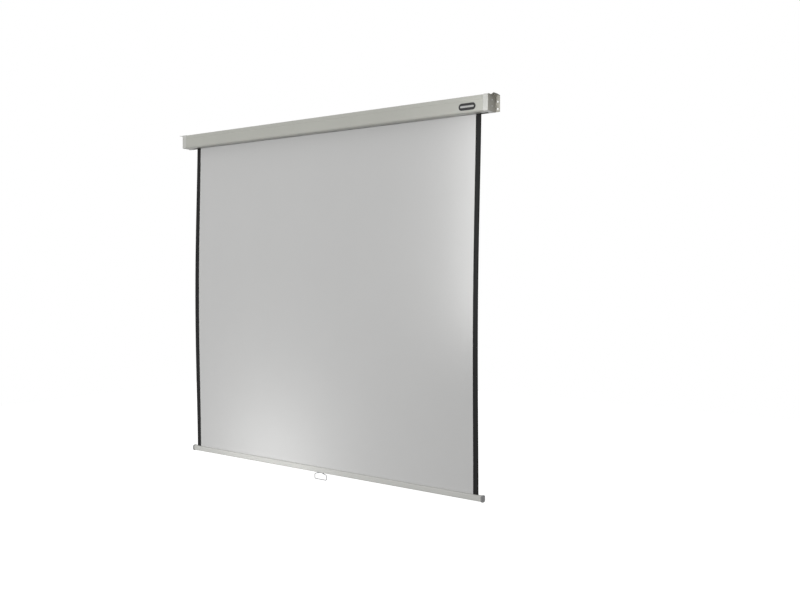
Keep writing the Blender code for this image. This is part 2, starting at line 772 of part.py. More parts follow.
def make_roller(parts, turning):
    """The tube, its two end plugs, the idle pin and the spring's drive plug."""
    tube = tube_ring(-ROLLER_END, ROLLER_END, ROLLER_DIAMETER / 2, ROLLER_BORE)
    add_solid("roller_tube", tube, parts["steel"], turning)
    spigot = ROLLER_BORE - FIT
    shaft_bore = SHAFT_DIAMETER / 2 + FIT
    left = plug_profile(-1, spigot)
    left = [(left[0][0], shaft_bore), *left, (left[-1][0], shaft_bore)]
    plug = add_solid("roller_plug_left", turned(left, ring=True), parts["plastic"], turning)
    make_pawl_seat(plug, parts, turning)
    pin_bore = IDLE_PIN / 2 + FIT
    right = plug_profile(1, spigot)
    right = [(right[0][0], pin_bore), *right, (right[-1][0], pin_bore)]
    add_solid("roller_plug_right", turned(right, ring=True), parts["plastic"], turning)
    pin = rod(ROLLER_END - PLUG_SPIGOT, HOLDER_TIP + BUSH_LENGTH, IDLE_PIN / 2)
    add_solid("idle_pin", pin, parts["steel"], turning)
    make_drive_plug(parts["plastic"], turning)


def make_pawl_seat(plug, parts, turning):
    """The pin that the pawl swings on, and the stop that it hangs against."""
    y, z = pawl_pivot()
    pin_out = RATCHET_OUTSIDE + FIT
    hole = rod(-FLANGE_FACE - CUT_PAST, -ROLLER_END + PAWL_PIN_SEAT + RUN_GAP, PAWL_PIN / 2 + FIT, 12)
    combine(plug, add_helper("pawl_pin_hole", shift_shape(hole, (0, y, z)), turning), "DIFFERENCE")
    profile = [
        (-ROLLER_END + PAWL_PIN_SEAT, 0),
        (-ROLLER_END + PAWL_PIN_SEAT, PAWL_PIN / 2),
        (-pin_out, PAWL_PIN / 2),
        (-pin_out, PAWL_PIN * 0.8),
        (-pin_out - RUN_GAP / 2, PAWL_PIN * 0.8),
        (-pin_out - RUN_GAP / 2, 0),
    ]
    add_solid("pawl_pin", shift_shape(turned(profile, 12), (0, y, z)), parts["steel"], turning)
    half_width = PAWL_HUB + (PAWL_TIP - PAWL_HUB) * PAWL_STOP_AT / PAWL_LENGTH
    below = -(half_width + FIT + PAWL_STOP_RADIUS)
    stop_y, stop_z = pawl_point(PAWL_STOP_AT, below)
    stop = rod(-RATCHET_OUTSIDE, -FLANGE_FACE + PLUG_FLANGE / 2, PAWL_STOP_RADIUS, 12)
    helper = add_helper("pawl_stop", shift_shape(stop, (0, y + stop_y, z + stop_z)), turning)
    combine(plug, helper, "UNION")


def make_drive_plug(plastic, turning):
    """The plug that takes the spring's moving end and turns with the tube."""
    spigot_end = -(SPRING_END + COLLAR_LENGTH)
    disc_start = -(SPRING_END - SPRING_WIRE)
    disc_end = disc_start + DRIVE_PLUG_LENGTH
    bore = SHAFT_DIAMETER / 2 + FIT
    profile = [
        (spigot_end, bore),
        (spigot_end, COLLAR_RADIUS),
        (disc_start, COLLAR_RADIUS),
        (disc_start, ROLLER_BORE - FIT),
        (disc_end, ROLLER_BORE - FIT),
        (disc_end, bore),
    ]
    add_solid("spring_drive_plug", turned(profile, ring=True), plastic, turning)


def make_wraps(cloth, turning):
    """The turns that stay on the roller, winding in from where the sheet leaves it."""
    count = round(WRAP_TURNS * WRAP_STEPS)
    outside, inside = [], []
    for i in range(count + 1):
        angle = math.tau * i / WRAP_STEPS
        radius = WRAP_RADIUS - WRAP_PITCH * i / WRAP_STEPS
        for path, r in ((outside, radius), (inside, radius - SHEET_THICKNESS)):
            path.append((r * math.cos(angle), r * math.sin(angle)))
    half = SHEET_WIDTH / 2
    add_solid("sheet_wraps", walled(outside, inside, -half, half), cloth, turning)
    print(f"sheet wraps: gap between turns {(WRAP_PITCH - SHEET_THICKNESS) * 1000:.2f} mm")


def sheet_path():
    """The hanging sheet's middle surface, from the roller down, as (y, z)."""
    top, bottom = -FIT, SHEET_END
    points = []
    for row in range(SHEET_ROWS + 1):
        z = top + (bottom - top) * row / SHEET_ROWS
        share = min(max((CASE_BOTTOM - z) / SHEET_DROP, 0.0), 1.0)
        points.append((SHEET_Y - SHEET_BOW * math.sin(math.pi * share) ** 1.5, z))
    return points


def make_sheet(cloth, black):
    """The hanging sheet: the picture area between two black side borders."""
    edges = [-SHEET_WIDTH / 2, -SHEET_WIDTH / 2 + BORDER_WIDTH]
    edges += [-edge for edge in reversed(edges)]
    path = sheet_path()
    shape = bmesh.new()
    faces = []
    for offset in (-SHEET_THICKNESS / 2, SHEET_THICKNESS / 2):
        faces.append([[shape.verts.new((x, y + offset, z)) for x in edges] for y, z in path])
    last_row, last_column = len(path) - 1, len(edges) - 1
    for row in range(last_row):
        for column in range(last_column):
            for side in faces:
                quad = shape.faces.new(
                    (
                        side[row][column],
                        side[row][column + 1],
                        side[row + 1][column + 1],
                        side[row + 1][column],
                    )
                )
                quad.material_index = 0 if column == 1 else 1
        for column in (0, last_column):
            near, far = faces[0], faces[1]
            quad = shape.faces.new(
                (near[row][column], near[row + 1][column], far[row + 1][column], far[row][column])
            )
            quad.material_index = 1
    for row in (0, last_row):
        for column in range(last_column):
            near, far = faces[0][row], faces[1][row]
            shape.faces.new((near[column], near[column + 1], far[column + 1], far[column]))
    sheet = add_solid("screen_sheet", shape, cloth)
    sheet.data.materials.append(black)
    return sheet


def bar_corners(proud=0.0):
    """The bar's section from its top middle, clockwise; proud makes it larger all round."""
    half = BAR_DEPTH / 2 + proud
    top, bottom, radius = proud, -BAR_HEIGHT - proud, BAR_RADIUS + proud
    return [(half, top, radius), (half, bottom, radius), (-half, bottom, radius), (-half, top, radius)]


def make_bar(paint, plastic, steel, carriage):
    lip = BAR_SLOT / 2
    corners = [(lip, 0, 0), *bar_corners(), (-lip, 0, 0)]
    outside = filleted(corners, closed=False)
    inside = filleted(moved_right(corners, BAR_WALL, closed=False), closed=False)
    half = BAR_END - BAR_CAP_LENGTH - FIT
    bar = add_solid("bottom_bar", walled(outside, inside, -half, half), paint, carriage)
    for side, name in ((-1, "left"), (1, "right")):
        start = side * (BAR_END - BAR_CAP_LENGTH)
        cap = add_solid(
            f"bar_cap_{name}",
            prism(filleted(bar_corners(BAR_CAP_PROUD), True), start, side * BAR_END),
            plastic,
            carriage,
        )
        spigot = filleted(moved_right(bar_corners(), BAR_WALL + FIT, True), True)
        inner = prism(spigot, start - side * BAR_SPIGOT, start + side * BAR_CAP_LENGTH / 2)
        combine(cap, add_helper(f"bar_spigot_{name}", inner, carriage), "UNION")
    hem = rod(-SHEET_WIDTH / 2, SHEET_WIDTH / 2, HEM_ROD / 2, 12)
    add_solid("hem_rod", shift_shape(hem, (0, 0, -HEM_ROD_DROP)), steel, carriage)
    return bar


def clip_screw_places():
    return {"left": -CLIP_SCREW_SPACING / 2, "right": CLIP_SCREW_SPACING / 2}


def make_clip(bar, steel, carriage):
    """The plate under the bar, with two eyes for the handle, and its two screws."""
    half_length, half_width = CLIP_LENGTH / 2, CLIP_WIDTH / 2
    top = -BAR_HEIGHT - FIT
    plate = box((-half_length, half_length), (-half_width, half_width), (CLIP_BOTTOM, top))
    clip = add_solid("handle_clip", plate, steel, carriage)
    for side, name in ((-1, "left"), (1, "right")):
        middle = side * EYE_SPACING / 2
        span = (middle - EYE_WIDTH / 2, middle + EYE_WIDTH / 2)
        eye = shift_shape(rod(*span, EYE_RADIUS, SCREW_STEPS), (0, 0, HINGE_DROP))
        combine(clip, add_helper(f"eye_{name}", eye, carriage), "UNION")
    for side, name in ((-1, "left"), (1, "right")):
        middle = side * EYE_SPACING / 2
        span = (middle - EYE_WIDTH, middle + EYE_WIDTH)
        bore = shift_shape(rod(*span, WIRE / 2 + FIT, SCREW_STEPS), (0, 0, HINGE_DROP))
        combine(clip, add_helper(f"eye_bore_{name}", bore, carriage), "DIFFERENCE")
    head_at = CLIP_BOTTOM - FIT
    for name, x in clip_screw_places().items():
        reach = CLIP_SCREW_LENGTH + CUT_PAST / 2
        hole = turn_shape(rod(-reach, reach, CLIP_SCREW / 2 + FIT, 12), "Y")
        helper = add_helper(f"clip_hole_{name}", shift_shape(hole, (x, 0, head_at)), carriage)
        combine(clip, helper, "DIFFERENCE")
        combine(bar, helper, "DIFFERENCE")
        shape = pan_screw(0, 1, CLIP_SCREW_HEAD, CLIP_SCREW, CLIP_SCREW_LENGTH)
        slots = cross_slot(0, 1, CLIP_SCREW_HEAD)
        place = (x, 0, head_at)
        shape = shift_shape(turn_shape(shape, "Y"), place)
        screw = add_solid(f"clip_screw_{name}", shape, steel, carriage, sharp_deg=50)
        for number, slot in enumerate(slots):
            slot = shift_shape(turn_shape(slot, "Y"), place)
            helper = add_helper(f"clip_recess_{name}_{number}", slot, carriage)
            combine(screw, helper, "DIFFERENCE")


def handle_points():
    """The bail's wire, from inside one eye round to the other, hanging straight down."""
    eye = EYE_SPACING / 2 + EYE_WIDTH / 2
    half = HANDLE_WIDTH / 2
    corners = [
        (EYE_SPACING / 2 - EYE_WIDTH / 2 - WIRE_END, 0, 0),
        (eye + WIRE / 2, 0, WIRE),
        (half, -HANDLE_SHOULDER, HANDLE_RADIUS),
        (half, -HANDLE_DROP, HANDLE_RADIUS),
    ]
    mirrored = [(-x, z, radius) for x, z, radius in reversed(corners)]
    return [Vector((x, 0, z)) for x, z in filleted(corners + mirrored, closed=False)]


def make_handle(steel, hinge):
    tube_along("pull_handle", handle_points(), WIRE, 2, steel, hinge)


def build():
    clear_scene()
    case_paint = finish("case_paint", (0.62, 0.62, 0.58), 0.45)
    cap_plastic = finish("cap_plastic", (0.72, 0.72, 0.69), 0.5)
    cloth = finish("matte_sheet", (0.80, 0.80, 0.79), 0.9)
    black = finish("black_border", (0.02, 0.02, 0.02), 0.8)
    bar_paint = finish("bar_paint", (0.70, 0.70, 0.66), 0.4)
    bar_plastic = finish("bar_cap_plastic", (0.42, 0.42, 0.41), 0.5)
    steel = finish("zinc_steel", (0.60, 0.60, 0.60), 0.35, 1.0)
    dark = finish("badge_dark", (0.03, 0.03, 0.03), 0.35)
    silver = finish("badge_silver", (0.70, 0.70, 0.70), 0.3, 1.0)
    nylon = finish("nylon", (0.75, 0.74, 0.70), 0.5)

    line = add_frame("roller_line", (0, ROLLER_Y, 0))
    turning = add_frame("roller_turn", (0, 0, 0), line)
    pivot = add_frame("pawl_swing", (0, *pawl_pivot()), turning)
    carriage = add_frame("bar_slide", (0, SHEET_Y, BAR_TOP))
    hinge = add_frame("handle_swing", (0, 0, HINGE_DROP), carriage)

    make_case(case_paint)
    tang = flatted(SHAFT_DIAMETER / 2 + FIT, SHAFT_ACROSS_FLATS + 2 * FIT)
    bush_outer = IDLE_PIN / 2 + FIT + BUSH_WALL
    round_bore = circle(bush_outer + FIT)
    for side, name in ((-1, "left"), (1, "right")):
        bores = screw_bores(side, name)
        make_end_cap(side, name, cap_plastic, bores)
        make_bracket(side, name, case_paint, bores)
        make_bracket_screws(side, name, steel)
        if side < 0:
            make_holder(side, "shaft_holder", nylon, line, tang, bores)
        else:
            make_holder(side, "bearing_holder", nylon, line, round_bore, bores)
    make_badge(dark, silver)

    bush = tube_ring(HOLDER_TIP, HOLDER_TIP + BUSH_LENGTH, bush_outer, IDLE_PIN / 2 + FIT)
    add_solid("bearing_bush", bush, nylon, line)
    shaft = make_shaft(steel, line)
    make_collar(shaft, nylon, steel, line)
    make_spring(steel, line)
    make_ratchet(steel, line)

    make_roller({"steel": steel, "plastic": nylon}, turning)
    make_wraps(cloth, turning)
    make_pawl(steel, pivot)

    make_sheet(cloth, black)
    bar = make_bar(bar_paint, bar_plastic, steel, carriage)
    make_clip(bar, steel, carriage)
    make_handle(steel, hinge)


build()
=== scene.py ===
"""The look of a pull-down projection screen, drawn out to its full drop.

Metres, +Z up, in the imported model's own frame: X runs along the case, the wall stands
at Y = 0 behind it and the viewer is at -Y. Each piece takes its place from the solid
that it stands for.
"""

import math

import bmesh
import bpy
from mathutils import Matrix, Vector


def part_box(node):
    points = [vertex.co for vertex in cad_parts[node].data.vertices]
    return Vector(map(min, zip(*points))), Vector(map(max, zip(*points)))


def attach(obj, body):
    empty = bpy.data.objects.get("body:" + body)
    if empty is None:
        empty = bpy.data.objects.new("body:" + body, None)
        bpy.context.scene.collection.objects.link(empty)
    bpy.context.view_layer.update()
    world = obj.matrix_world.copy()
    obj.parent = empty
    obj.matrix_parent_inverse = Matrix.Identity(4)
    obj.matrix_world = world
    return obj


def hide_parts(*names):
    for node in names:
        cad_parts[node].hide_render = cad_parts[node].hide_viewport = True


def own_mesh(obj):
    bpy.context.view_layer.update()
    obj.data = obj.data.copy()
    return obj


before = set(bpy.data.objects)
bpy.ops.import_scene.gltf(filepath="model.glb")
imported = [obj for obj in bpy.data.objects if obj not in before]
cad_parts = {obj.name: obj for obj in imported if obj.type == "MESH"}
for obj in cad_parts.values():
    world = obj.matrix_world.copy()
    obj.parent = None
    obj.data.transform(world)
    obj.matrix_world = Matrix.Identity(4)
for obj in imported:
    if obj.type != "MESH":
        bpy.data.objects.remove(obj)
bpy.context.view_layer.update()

# How near counts as the same place, when a face looks along an axis, and what merges
NEAR = 0.00005
FACING = 0.9
MERGE = 0.000002

# Turns that lay a drum's axis along X and along Y
ALONG_X = (0, math.pi / 2, 0)
ALONG_Y = (math.pi / 2, 0, 0)

# Sizes that the solids' boxes don't give, cloth first
BORDER_WIDTH = 0.030
SHEET_THICKNESS = 0.0005
SHEET_BOW = 0.0135
BOW_POWER = 1.5
# Each wave's height, its radians for a metre along X, its start and its drift over the drop
SHEET_WAVES = ((0.0007, 5.2, 0.8, 1.3), (0.0004, 11.0, 0.0, -2.1))
EDGE_CURL = 0.0045
CURL_WIDTH = 0.06
WRAP_TURNS = 1.75
WRAP_PITCH = 0.0010
THREADS_PER_METRE = 1500.0

# Case, covers and badge
CASE_WALL = 0.0010
CASE_LOWER_RADIUS = 0.010
CASE_UPPER_RADIUS = 0.004
CASE_BACK_RADIUS = 0.0025
GROOVE_HEIGHT = 0.015
GROOVE_WIDTH = 0.008
GROOVE_DEPTH = 0.0012
GROOVE_RADIUS = 0.0005
SLOT_FRONT_Y = -0.0292
SLOT_BACK_Y = -0.0067
HEM_HEIGHT = 0.006
HEM_RADIUS = 0.0020
COVER_WALL = 0.0025
COVER_SEAM = 0.0006
COVER_LOWER_RADIUS = 0.003
COVER_INNER_MERGE = 0.0003
COVER_SOFT = 0.0006
BADGE_FRONT_EDGE = 0.0005
BADGE_RIM = 0.0012
BADGE_SINK = 0.0003
STRIP_FRONT_EDGE = 0.0003

# Brackets and screws
BRACKET_SHEET = 0.0015
BRACKET_SOFT = 0.0004
EAR_WIDTH = 0.023
EAR_RISE = 0.001
FLANGE_REAR_WIDTH = 0.022
FLANGE_ROOT_SETBACK = 0.028
MOUNT_HOLE = 0.009
HOLE_CUTTER_LENGTH = 0.02
EAR_HOLE_HEIGHTS = (0.010, -0.024)
SCREW_HEAD_RISE = 0.32
BRACKET_SCREW_Z = 0.0145
BRACKET_SCREW_SHANK = 0.0035
BRACKET_SCREW_LENGTH = 0.010
CLIP_SCREW_X = 0.006
CLIP_SCREW_SHANK = 0.003
CLIP_SCREW_LENGTH = 0.0065

# Bar, its caps and its handle
BAR_RADIUS = 0.008
BAR_WALL = 0.0012
BAR_SLOT = 0.0022
BAR_CAP_PROUD = 0.0022
BAR_CAP_LENGTH = 0.010
BAR_CAP_OUTER_RIM = 0.0026
BAR_CAP_INNER_RIM = 0.0006
EYE_PLACES = (-0.016, 0.016)
EYE_WIDTH = 0.006
EYE_WALL = 0.0013
CLIP_SHEET = 0.0012
CLIP_CORNER = 0.003
CLIP_SOFT = 0.0003
WIRE = 0.0035
WIRE_PAST_EYE = 0.0015
WIRE_SHOULDER_DROP = 0.007
WIRE_BEND = 0.006
WIRE_SOFT = 0.0004

# Floor and camera
FLOOR_HEIGHT = -2.6
FLOOR_SIZE = 16
CAMERA_PLACE = (3.0538, -3.5335, -0.8161)
CAMERA_TURN_TILT_ROLL = (35.66, -1.555, 0.293)
LENS = 38.25
FILM_WIDTH = 36

# Boxes and lines that several pieces share
CASE_LOW, CASE_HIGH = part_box("case_shell")
BAR_LOW, BAR_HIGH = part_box("bottom_bar")
_, WRAPS_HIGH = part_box("sheet_wraps")
ROLLER_Y = (CASE_LOW.y + CASE_HIGH.y) / 2
WRAP_RADIUS = WRAPS_HIGH.y - ROLLER_Y
SHEET_Y = ROLLER_Y + WRAP_RADIUS - SHEET_THICKNESS / 2
HALF_SHEET = WRAPS_HIGH.x


def near(value, goal):
    return abs(value - goal) < NEAR


def open_piece(name, place=(0, 0, 0), scale=(1, 1, 1)):
    """Names the primitive just added, gives it its place and size, and opens it for editing."""
    piece = bpy.context.object
    piece.name = piece.data.name = name
    piece.location = place
    piece.scale = scale
    bpy.ops.object.transform_apply(location=True, rotation=True, scale=True)
    bpy.ops.object.mode_set(mode="EDIT")
    return piece


def block(name, low, high):
    """A block between two corners, opened for editing."""
    low, high = Vector(low), Vector(high)
    bpy.ops.object.select_all(action="DESELECT")
    bpy.ops.mesh.primitive_cube_add(size=1)
    return open_piece(name, (low + high) / 2, high - low)


def drum(name, place, radius, depth, sides, turn=(0, 0, 0), ends="NGON"):
    """A round bar on +Z before its turn, opened for editing."""
    bpy.ops.object.select_all(action="DESELECT")
    bpy.ops.mesh.primitive_cylinder_add(
        vertices=sides, radius=radius, depth=depth, end_fill_type=ends, rotation=turn
    )
    return open_piece(name, place)


def pick(kind, test):
    """Selects what passes the test: test(middle, normal or direction) of faces, edges or verts."""
    bpy.ops.mesh.select_mode(type={"verts": "VERT", "edges": "EDGE", "faces": "FACE"}[kind])
    bpy.ops.mesh.select_all(action="DESELECT")
    shape = bmesh.from_edit_mesh(bpy.context.object.data)
    shape.normal_update()
    found = 0
    for element in getattr(shape, kind):
        if kind == "faces":
            facts = (element.calc_center_median(), element.normal)
        elif kind == "edges":
            first, last = (vert.co for vert in element.verts)
            facts = ((first + last) / 2, (last - first).normalized())
        else:
            facts = (element.co, element.normal)
        if test(*facts):
            element.select_set(True)
            found += 1
    bmesh.update_edit_mesh(bpy.context.object.data)
    if not found:
        raise RuntimeError(f"{bpy.context.object.name}: nothing passed the test for {kind}")


def cut_at(point, normal, only=None):
    """Cuts the open piece, or its faces that pass a test, along a plane."""
    if only:
        pick("faces", only)
    else:
        bpy.ops.mesh.select_all(action="SELECT")
    bpy.ops.mesh.bisect(plane_co=point, plane_no=normal)


def draw_out(x=0.0, y=0.0, z=0.0):
    """Extrudes what is selected by this much."""
    bpy.ops.mesh.extrude_region_move(TRANSFORM_OT_translate={"value": (x, y, z)})


def along_x(middle, way, places):
    """Whether an edge runs along X at one of these (y, z) places."""
    return abs(way.x) > 0.99 and any(near(middle.y, y) and near(middle.z, z) for y, z in places)


def round_long_edges(places, radius, segments):
    """Rounds the edges along X that stand at these (y, z) places."""
    pick("edges", lambda middle, way: along_x(middle, way, places))
    bpy.ops.mesh.bevel(offset=radius, segments=segments, affect="EDGES", clamp_overlap=True)


def close_piece(piece):
    """Merges doubles, turns the faces outwards and leaves edit mode."""
    bpy.ops.mesh.select_mode(type="FACE")
    bpy.ops.mesh.select_all(action="SELECT")
    bpy.ops.mesh.remove_doubles(threshold=MERGE)
    bpy.ops.mesh.normals_make_consistent(inside=False)
    bpy.ops.object.mode_set(mode="OBJECT")
    return piece


def only_select(piece):
    bpy.ops.object.select_all(action="DESELECT")
    piece.select_set(True)
    bpy.context.view_layer.objects.active = piece


def open_again(piece):
    """Opens a finished piece for editing once more, all of it selected."""
    only_select(piece)
    bpy.ops.object.mode_set(mode="EDIT")
    bpy.ops.mesh.select_all(action="SELECT")


def apply_modifier(piece, kind, **settings):
    modifier = piece.modifiers.new(kind.lower(), kind)
    for name, setting in settings.items():
        setattr(modifier, name, setting)
    only_select(piece)
    bpy.ops.object.modifier_apply(modifier=modifier.name)


def give_wall(piece, thickness, side=-1, inside=None):
    """Gives a shell its wall, inwards unless side says otherwise, and its inside another finish."""
    for material in inside or ():
        piece.data.materials.append(material)
    apply_modifier(
        piece,
        "SOLIDIFY",
        thickness=thickness,
        offset=side,
        use_even_offset=True,
        material_offset=1 if inside else 0,
    )


def soften_edges(piece, width, segments=2, above_deg=40):
    """Rounds every edge that turns by more than this."""
    apply_modifier(
        piece,
        "BEVEL",
        width=width,
        segments=segments,
        limit_method="ANGLE",
        angle_limit=math.radians(above_deg),
        use_clamp_overlap=True,
    )


def cut_with(piece, cutter):
    """Takes a cutter's shape out of a piece, and removes the cutter."""
    apply_modifier(piece, "BOOLEAN", operation="DIFFERENCE", solver="EXACT", object=cutter)
    bpy.data.objects.remove(cutter)


def join_pieces(name, pieces):
    """Joins closed shapes that stand in each other as one piece."""
    bpy.ops.object.select_all(action="DESELECT")
    for piece in pieces:
        piece.select_set(True)
    bpy.context.view_layer.objects.active = pieces[0]
    bpy.ops.object.join()
    pieces[0].name = pieces[0].data.name = name
    return pieces[0]


def copy_piece(piece, name, move=None, turn=None, mirror=False):
    """A copy with its own mesh, moved, turned or mirrored across the middle of the screen."""
    copy = bpy.data.objects.new(name, piece.data.copy())
    copy.data.name = name
    bpy.context.scene.collection.objects.link(copy)
    if turn:
        copy.data.transform(turn)
    if move:
        copy.data.transform(Matrix.Translation(move))
    if mirror:
        copy.data.transform(Matrix.Diagonal((-1, 1, 1, 1)))
        open_again(copy)
        close_piece(copy)
    return copy


def put_on(piece, body, materials, nodes, smooth_deg=32, level_faces=True):
    """Smooths a piece, gives it its finish, and lets it stand for its solids on their body."""
    only_select(piece)
    bpy.ops.object.shade_smooth_by_angle(angle=math.radians(smooth_deg))
    if level_faces:
        apply_modifier(piece, "WEIGHTED_NORMAL", keep_sharp=True, weight=80)
    if not piece.data.materials:
        for material in materials:
            piece.data.materials.append(material)
    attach(piece, body)
    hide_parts(*nodes)


# Materials: the nodes they are made of


def add_node(tree, kind, values=None, links=None, **settings):
    node = tree.nodes.new("ShaderNode" + kind)
    for name, setting in settings.items():
        setattr(node, name, setting)
    for key, value in (values or {}).items():
        node.inputs[key].default_value = value
    for key, socket in (links or {}).items():
        tree.links.new(socket, node.inputs[key])
    return node


def reckon(tree, operation, *terms):
    """A Math node on numbers and sockets."""
    node = add_node(tree, "Math", operation=operation)
    for place, term in enumerate(terms):
        if isinstance(term, (int, float)):
            node.inputs[place].default_value = term
        else:
            tree.links.new(term, node.inputs[place])
    return node.outputs[0]


def product(tree, first, *others):
    for other in others:
        first = reckon(tree, "MULTIPLY", first, other)
    return first


def weighted_sum(tree, first, first_share, second, second_share):
    return reckon(
        tree, "ADD", product(tree, first, first_share), product(tree, second, second_share)
    )


def stretch(tree, value, low, high, to_low=0.0, to_high=1.0):
    """Carries a value from one range to another, and keeps it there."""
    node = add_node(
        tree, "MapRange", {1: low, 2: high, 3: to_low, 4: to_high}, {0: value}, clamp=True
    )
    return node.outputs[0]


def noise(tree, place, scale, detail=2.0, roughness=0.5, distortion=0.0):
    values = {"Scale": scale, "Detail": detail, "Roughness": roughness, "Distortion": distortion}
    linked = {"Vector": place}
    if not isinstance(scale, (int, float)):
        linked["Scale"] = values.pop("Scale")
    return add_node(tree, "TexNoise", values, linked).outputs[0]


def scaled_place(tree, place, by):
    return add_node(tree, "Mapping", {"Scale": by}, {"Vector": place}).outputs[0]


def mix_colour(tree, mask, below, above):
    node = add_node(tree, "Mix", data_type="RGBA", blend_type="MIX")
    for place, colour in ((6, below), (7, above)):
        if isinstance(colour, tuple):
            node.inputs[place].default_value = (*colour, 1.0)
        else:
            tree.links.new(colour, node.inputs[place])
    tree.links.new(mask, node.inputs[0])
    return node.outputs[2]


def new_group(name, inputs, outputs):
    """A shared effect: its tree, its inlet's sockets, and a function that fills an outlet."""
    tree = bpy.data.node_groups.new(name, "ShaderNodeTree")
    kinds = {"value": "NodeSocketFloat", "place": "NodeSocketVector"}
    for socket, kind in inputs.items():
        tree.interface.new_socket(name=socket, in_out="INPUT", socket_type=kinds[kind])
    for socket in outputs:
        tree.interface.new_socket(name=socket, in_out="OUTPUT", socket_type=kinds["value"])
    inlet = tree.nodes.new("NodeGroupInput")
    outlet = tree.nodes.new("NodeGroupOutput")
    return tree, inlet.outputs, lambda socket, value: tree.links.new(value, outlet.inputs[socket])


def grain_group():
    """Fine grain over slow patches, for coated, moulded and plated surfaces."""
    tree, given, fill = new_group(
        "surface_grain", {"Place": "place", "Fine": "value", "Broad": "value"}, ("Tone", "Height")
    )
    fine = noise(tree, given["Place"], given["Fine"], detail=3.0, roughness=0.55)
    broad = noise(tree, given["Place"], given["Broad"], detail=4.0, roughness=0.5)
    fill("Tone", weighted_sum(tree, fine, 0.3, broad, 0.7))
    fill("Height", fine)
    return tree


def edge_group():
    """Where an edge has been rubbed: turned surface within a small radius, broken up by noise."""
    tree, given, fill = new_group(
        "rubbed_edges", {"Place": "place", "Radius": "value", "Amount": "value"}, ("Mask",)
    )
    rounded = add_node(tree, "Bevel", links={"Radius": given["Radius"]}, samples=4)
    surface = add_node(tree, "NewGeometry")
    agree = add_node(
        tree,
        "VectorMath",
        links={0: rounded.outputs[0], 1: surface.outputs["Normal"]},
        operation="DOT_PRODUCT",
    )
    turned = stretch(tree, reckon(tree, "SUBTRACT", 1.0, agree.outputs["Value"]), 0.02, 0.22)
    spots = noise(tree, given["Place"], 90.0, detail=4.0, roughness=0.65)
    broken = stretch(tree, spots, 0.42, 0.62)
    fill("Mask", product(tree, turned, broken, given["Amount"]))
    return tree


def dust_group():
    """Dust that settles where a surface looks up."""
    tree, given, fill = new_group("settled_dust", {"Place": "place", "Amount": "value"}, ("Mask",))
    surface = add_node(tree, "NewGeometry")
    upward = add_node(tree, "SeparateXYZ", links={0: surface.outputs["Normal"]}).outputs["Z"]
    lying = stretch(tree, upward, 0.35, 0.95)
    patchy = stretch(tree, noise(tree, given["Place"], 22.0, detail=5.0, roughness=0.6), 0.3, 0.75)
    fill("Mask", product(tree, lying, patchy, given["Amount"]))
    return tree


def scuff_group():
    """Faint marks drawn along the length of a piece by hands and cloths."""
    tree, given, fill = new_group("long_scuffs", {"Place": "place", "Amount": "value"}, ("Mask",))
    drawn = scaled_place(tree, given["Place"], (6.0, 160.0, 160.0))
    streaks = noise(tree, drawn, 1.0, detail=3.0, roughness=0.6, distortion=0.3)
    lines = stretch(tree, streaks, 0.58, 0.72)
    where = stretch(tree, noise(tree, given["Place"], 7.0, detail=2.0), 0.45, 0.7)
    fill("Mask", product(tree, lines, where, given["Amount"]))
    return tree


def weave_group():
    """Plain weave of a coated cloth that hangs in the XZ plane."""
    inputs = {"Place": "place", "Threads": "value"}
    tree, given, fill = new_group("plain_weave", inputs, ("Height", "Tone"))
    axes = add_node(tree, "SeparateXYZ", links={0: given["Place"]})
    wander = noise(tree, given["Place"], 60.0, detail=2.0)
    waves = []
    for axis, share in (("X", 0.004), ("Z", -0.004)):
        moved = reckon(tree, "ADD", axes.outputs[axis], product(tree, wander, share))
        waves.append(reckon(tree, "SINE", product(tree, moved, given["Threads"], math.tau)))
    fill("Height", stretch(tree, product(tree, *waves), -1.0, 1.0))
    fill("Tone", noise(tree, given["Place"], 3.0, detail=5.0, roughness=0.6))
    return tree


EFFECTS = {
    "grain": grain_group(),
    "edges": edge_group(),
    "dust": dust_group(),
    "scuffs": scuff_group(),
    "weave": weave_group(),
}


class Finish:
    """A material, with short ways to place the shared effects in it."""

    def __init__(self, name, roughness, metallic=0.0):
        self.material = bpy.data.materials.new(name)
        self.material.use_nodes = True
        self.tree = self.material.node_tree
        self.shader = self.tree.nodes["Principled BSDF"]
        self.shader.inputs["Roughness"].default_value = roughness
        self.shader.inputs["Metallic"].default_value = metallic
        self.place = add_node(self.tree, "TexCoord").outputs["Object"]

    def effect(self, name, output, **values):
        """One output of a shared effect, with these values put in."""
        node = add_node(self.tree, "Group", node_tree=EFFECTS[name])
        self.tree.links.new(self.place, node.inputs["Place"])
        for key, value in values.items():
            node.inputs[key].default_value = value
        return node.outputs[output]

    def to(self, socket, value):
        self.tree.links.new(value, self.shader.inputs[socket])

    def set(self, **values):
        for name, value in values.items():
            self.shader.inputs[name.replace("_", " ")].default_value = value

    def bump(self, height, strength, distance):
        values = {"Strength": strength, "Distance": distance}
        self.to("Normal", add_node(self.tree, "Bump", values, {"Height": height}).outputs[0])


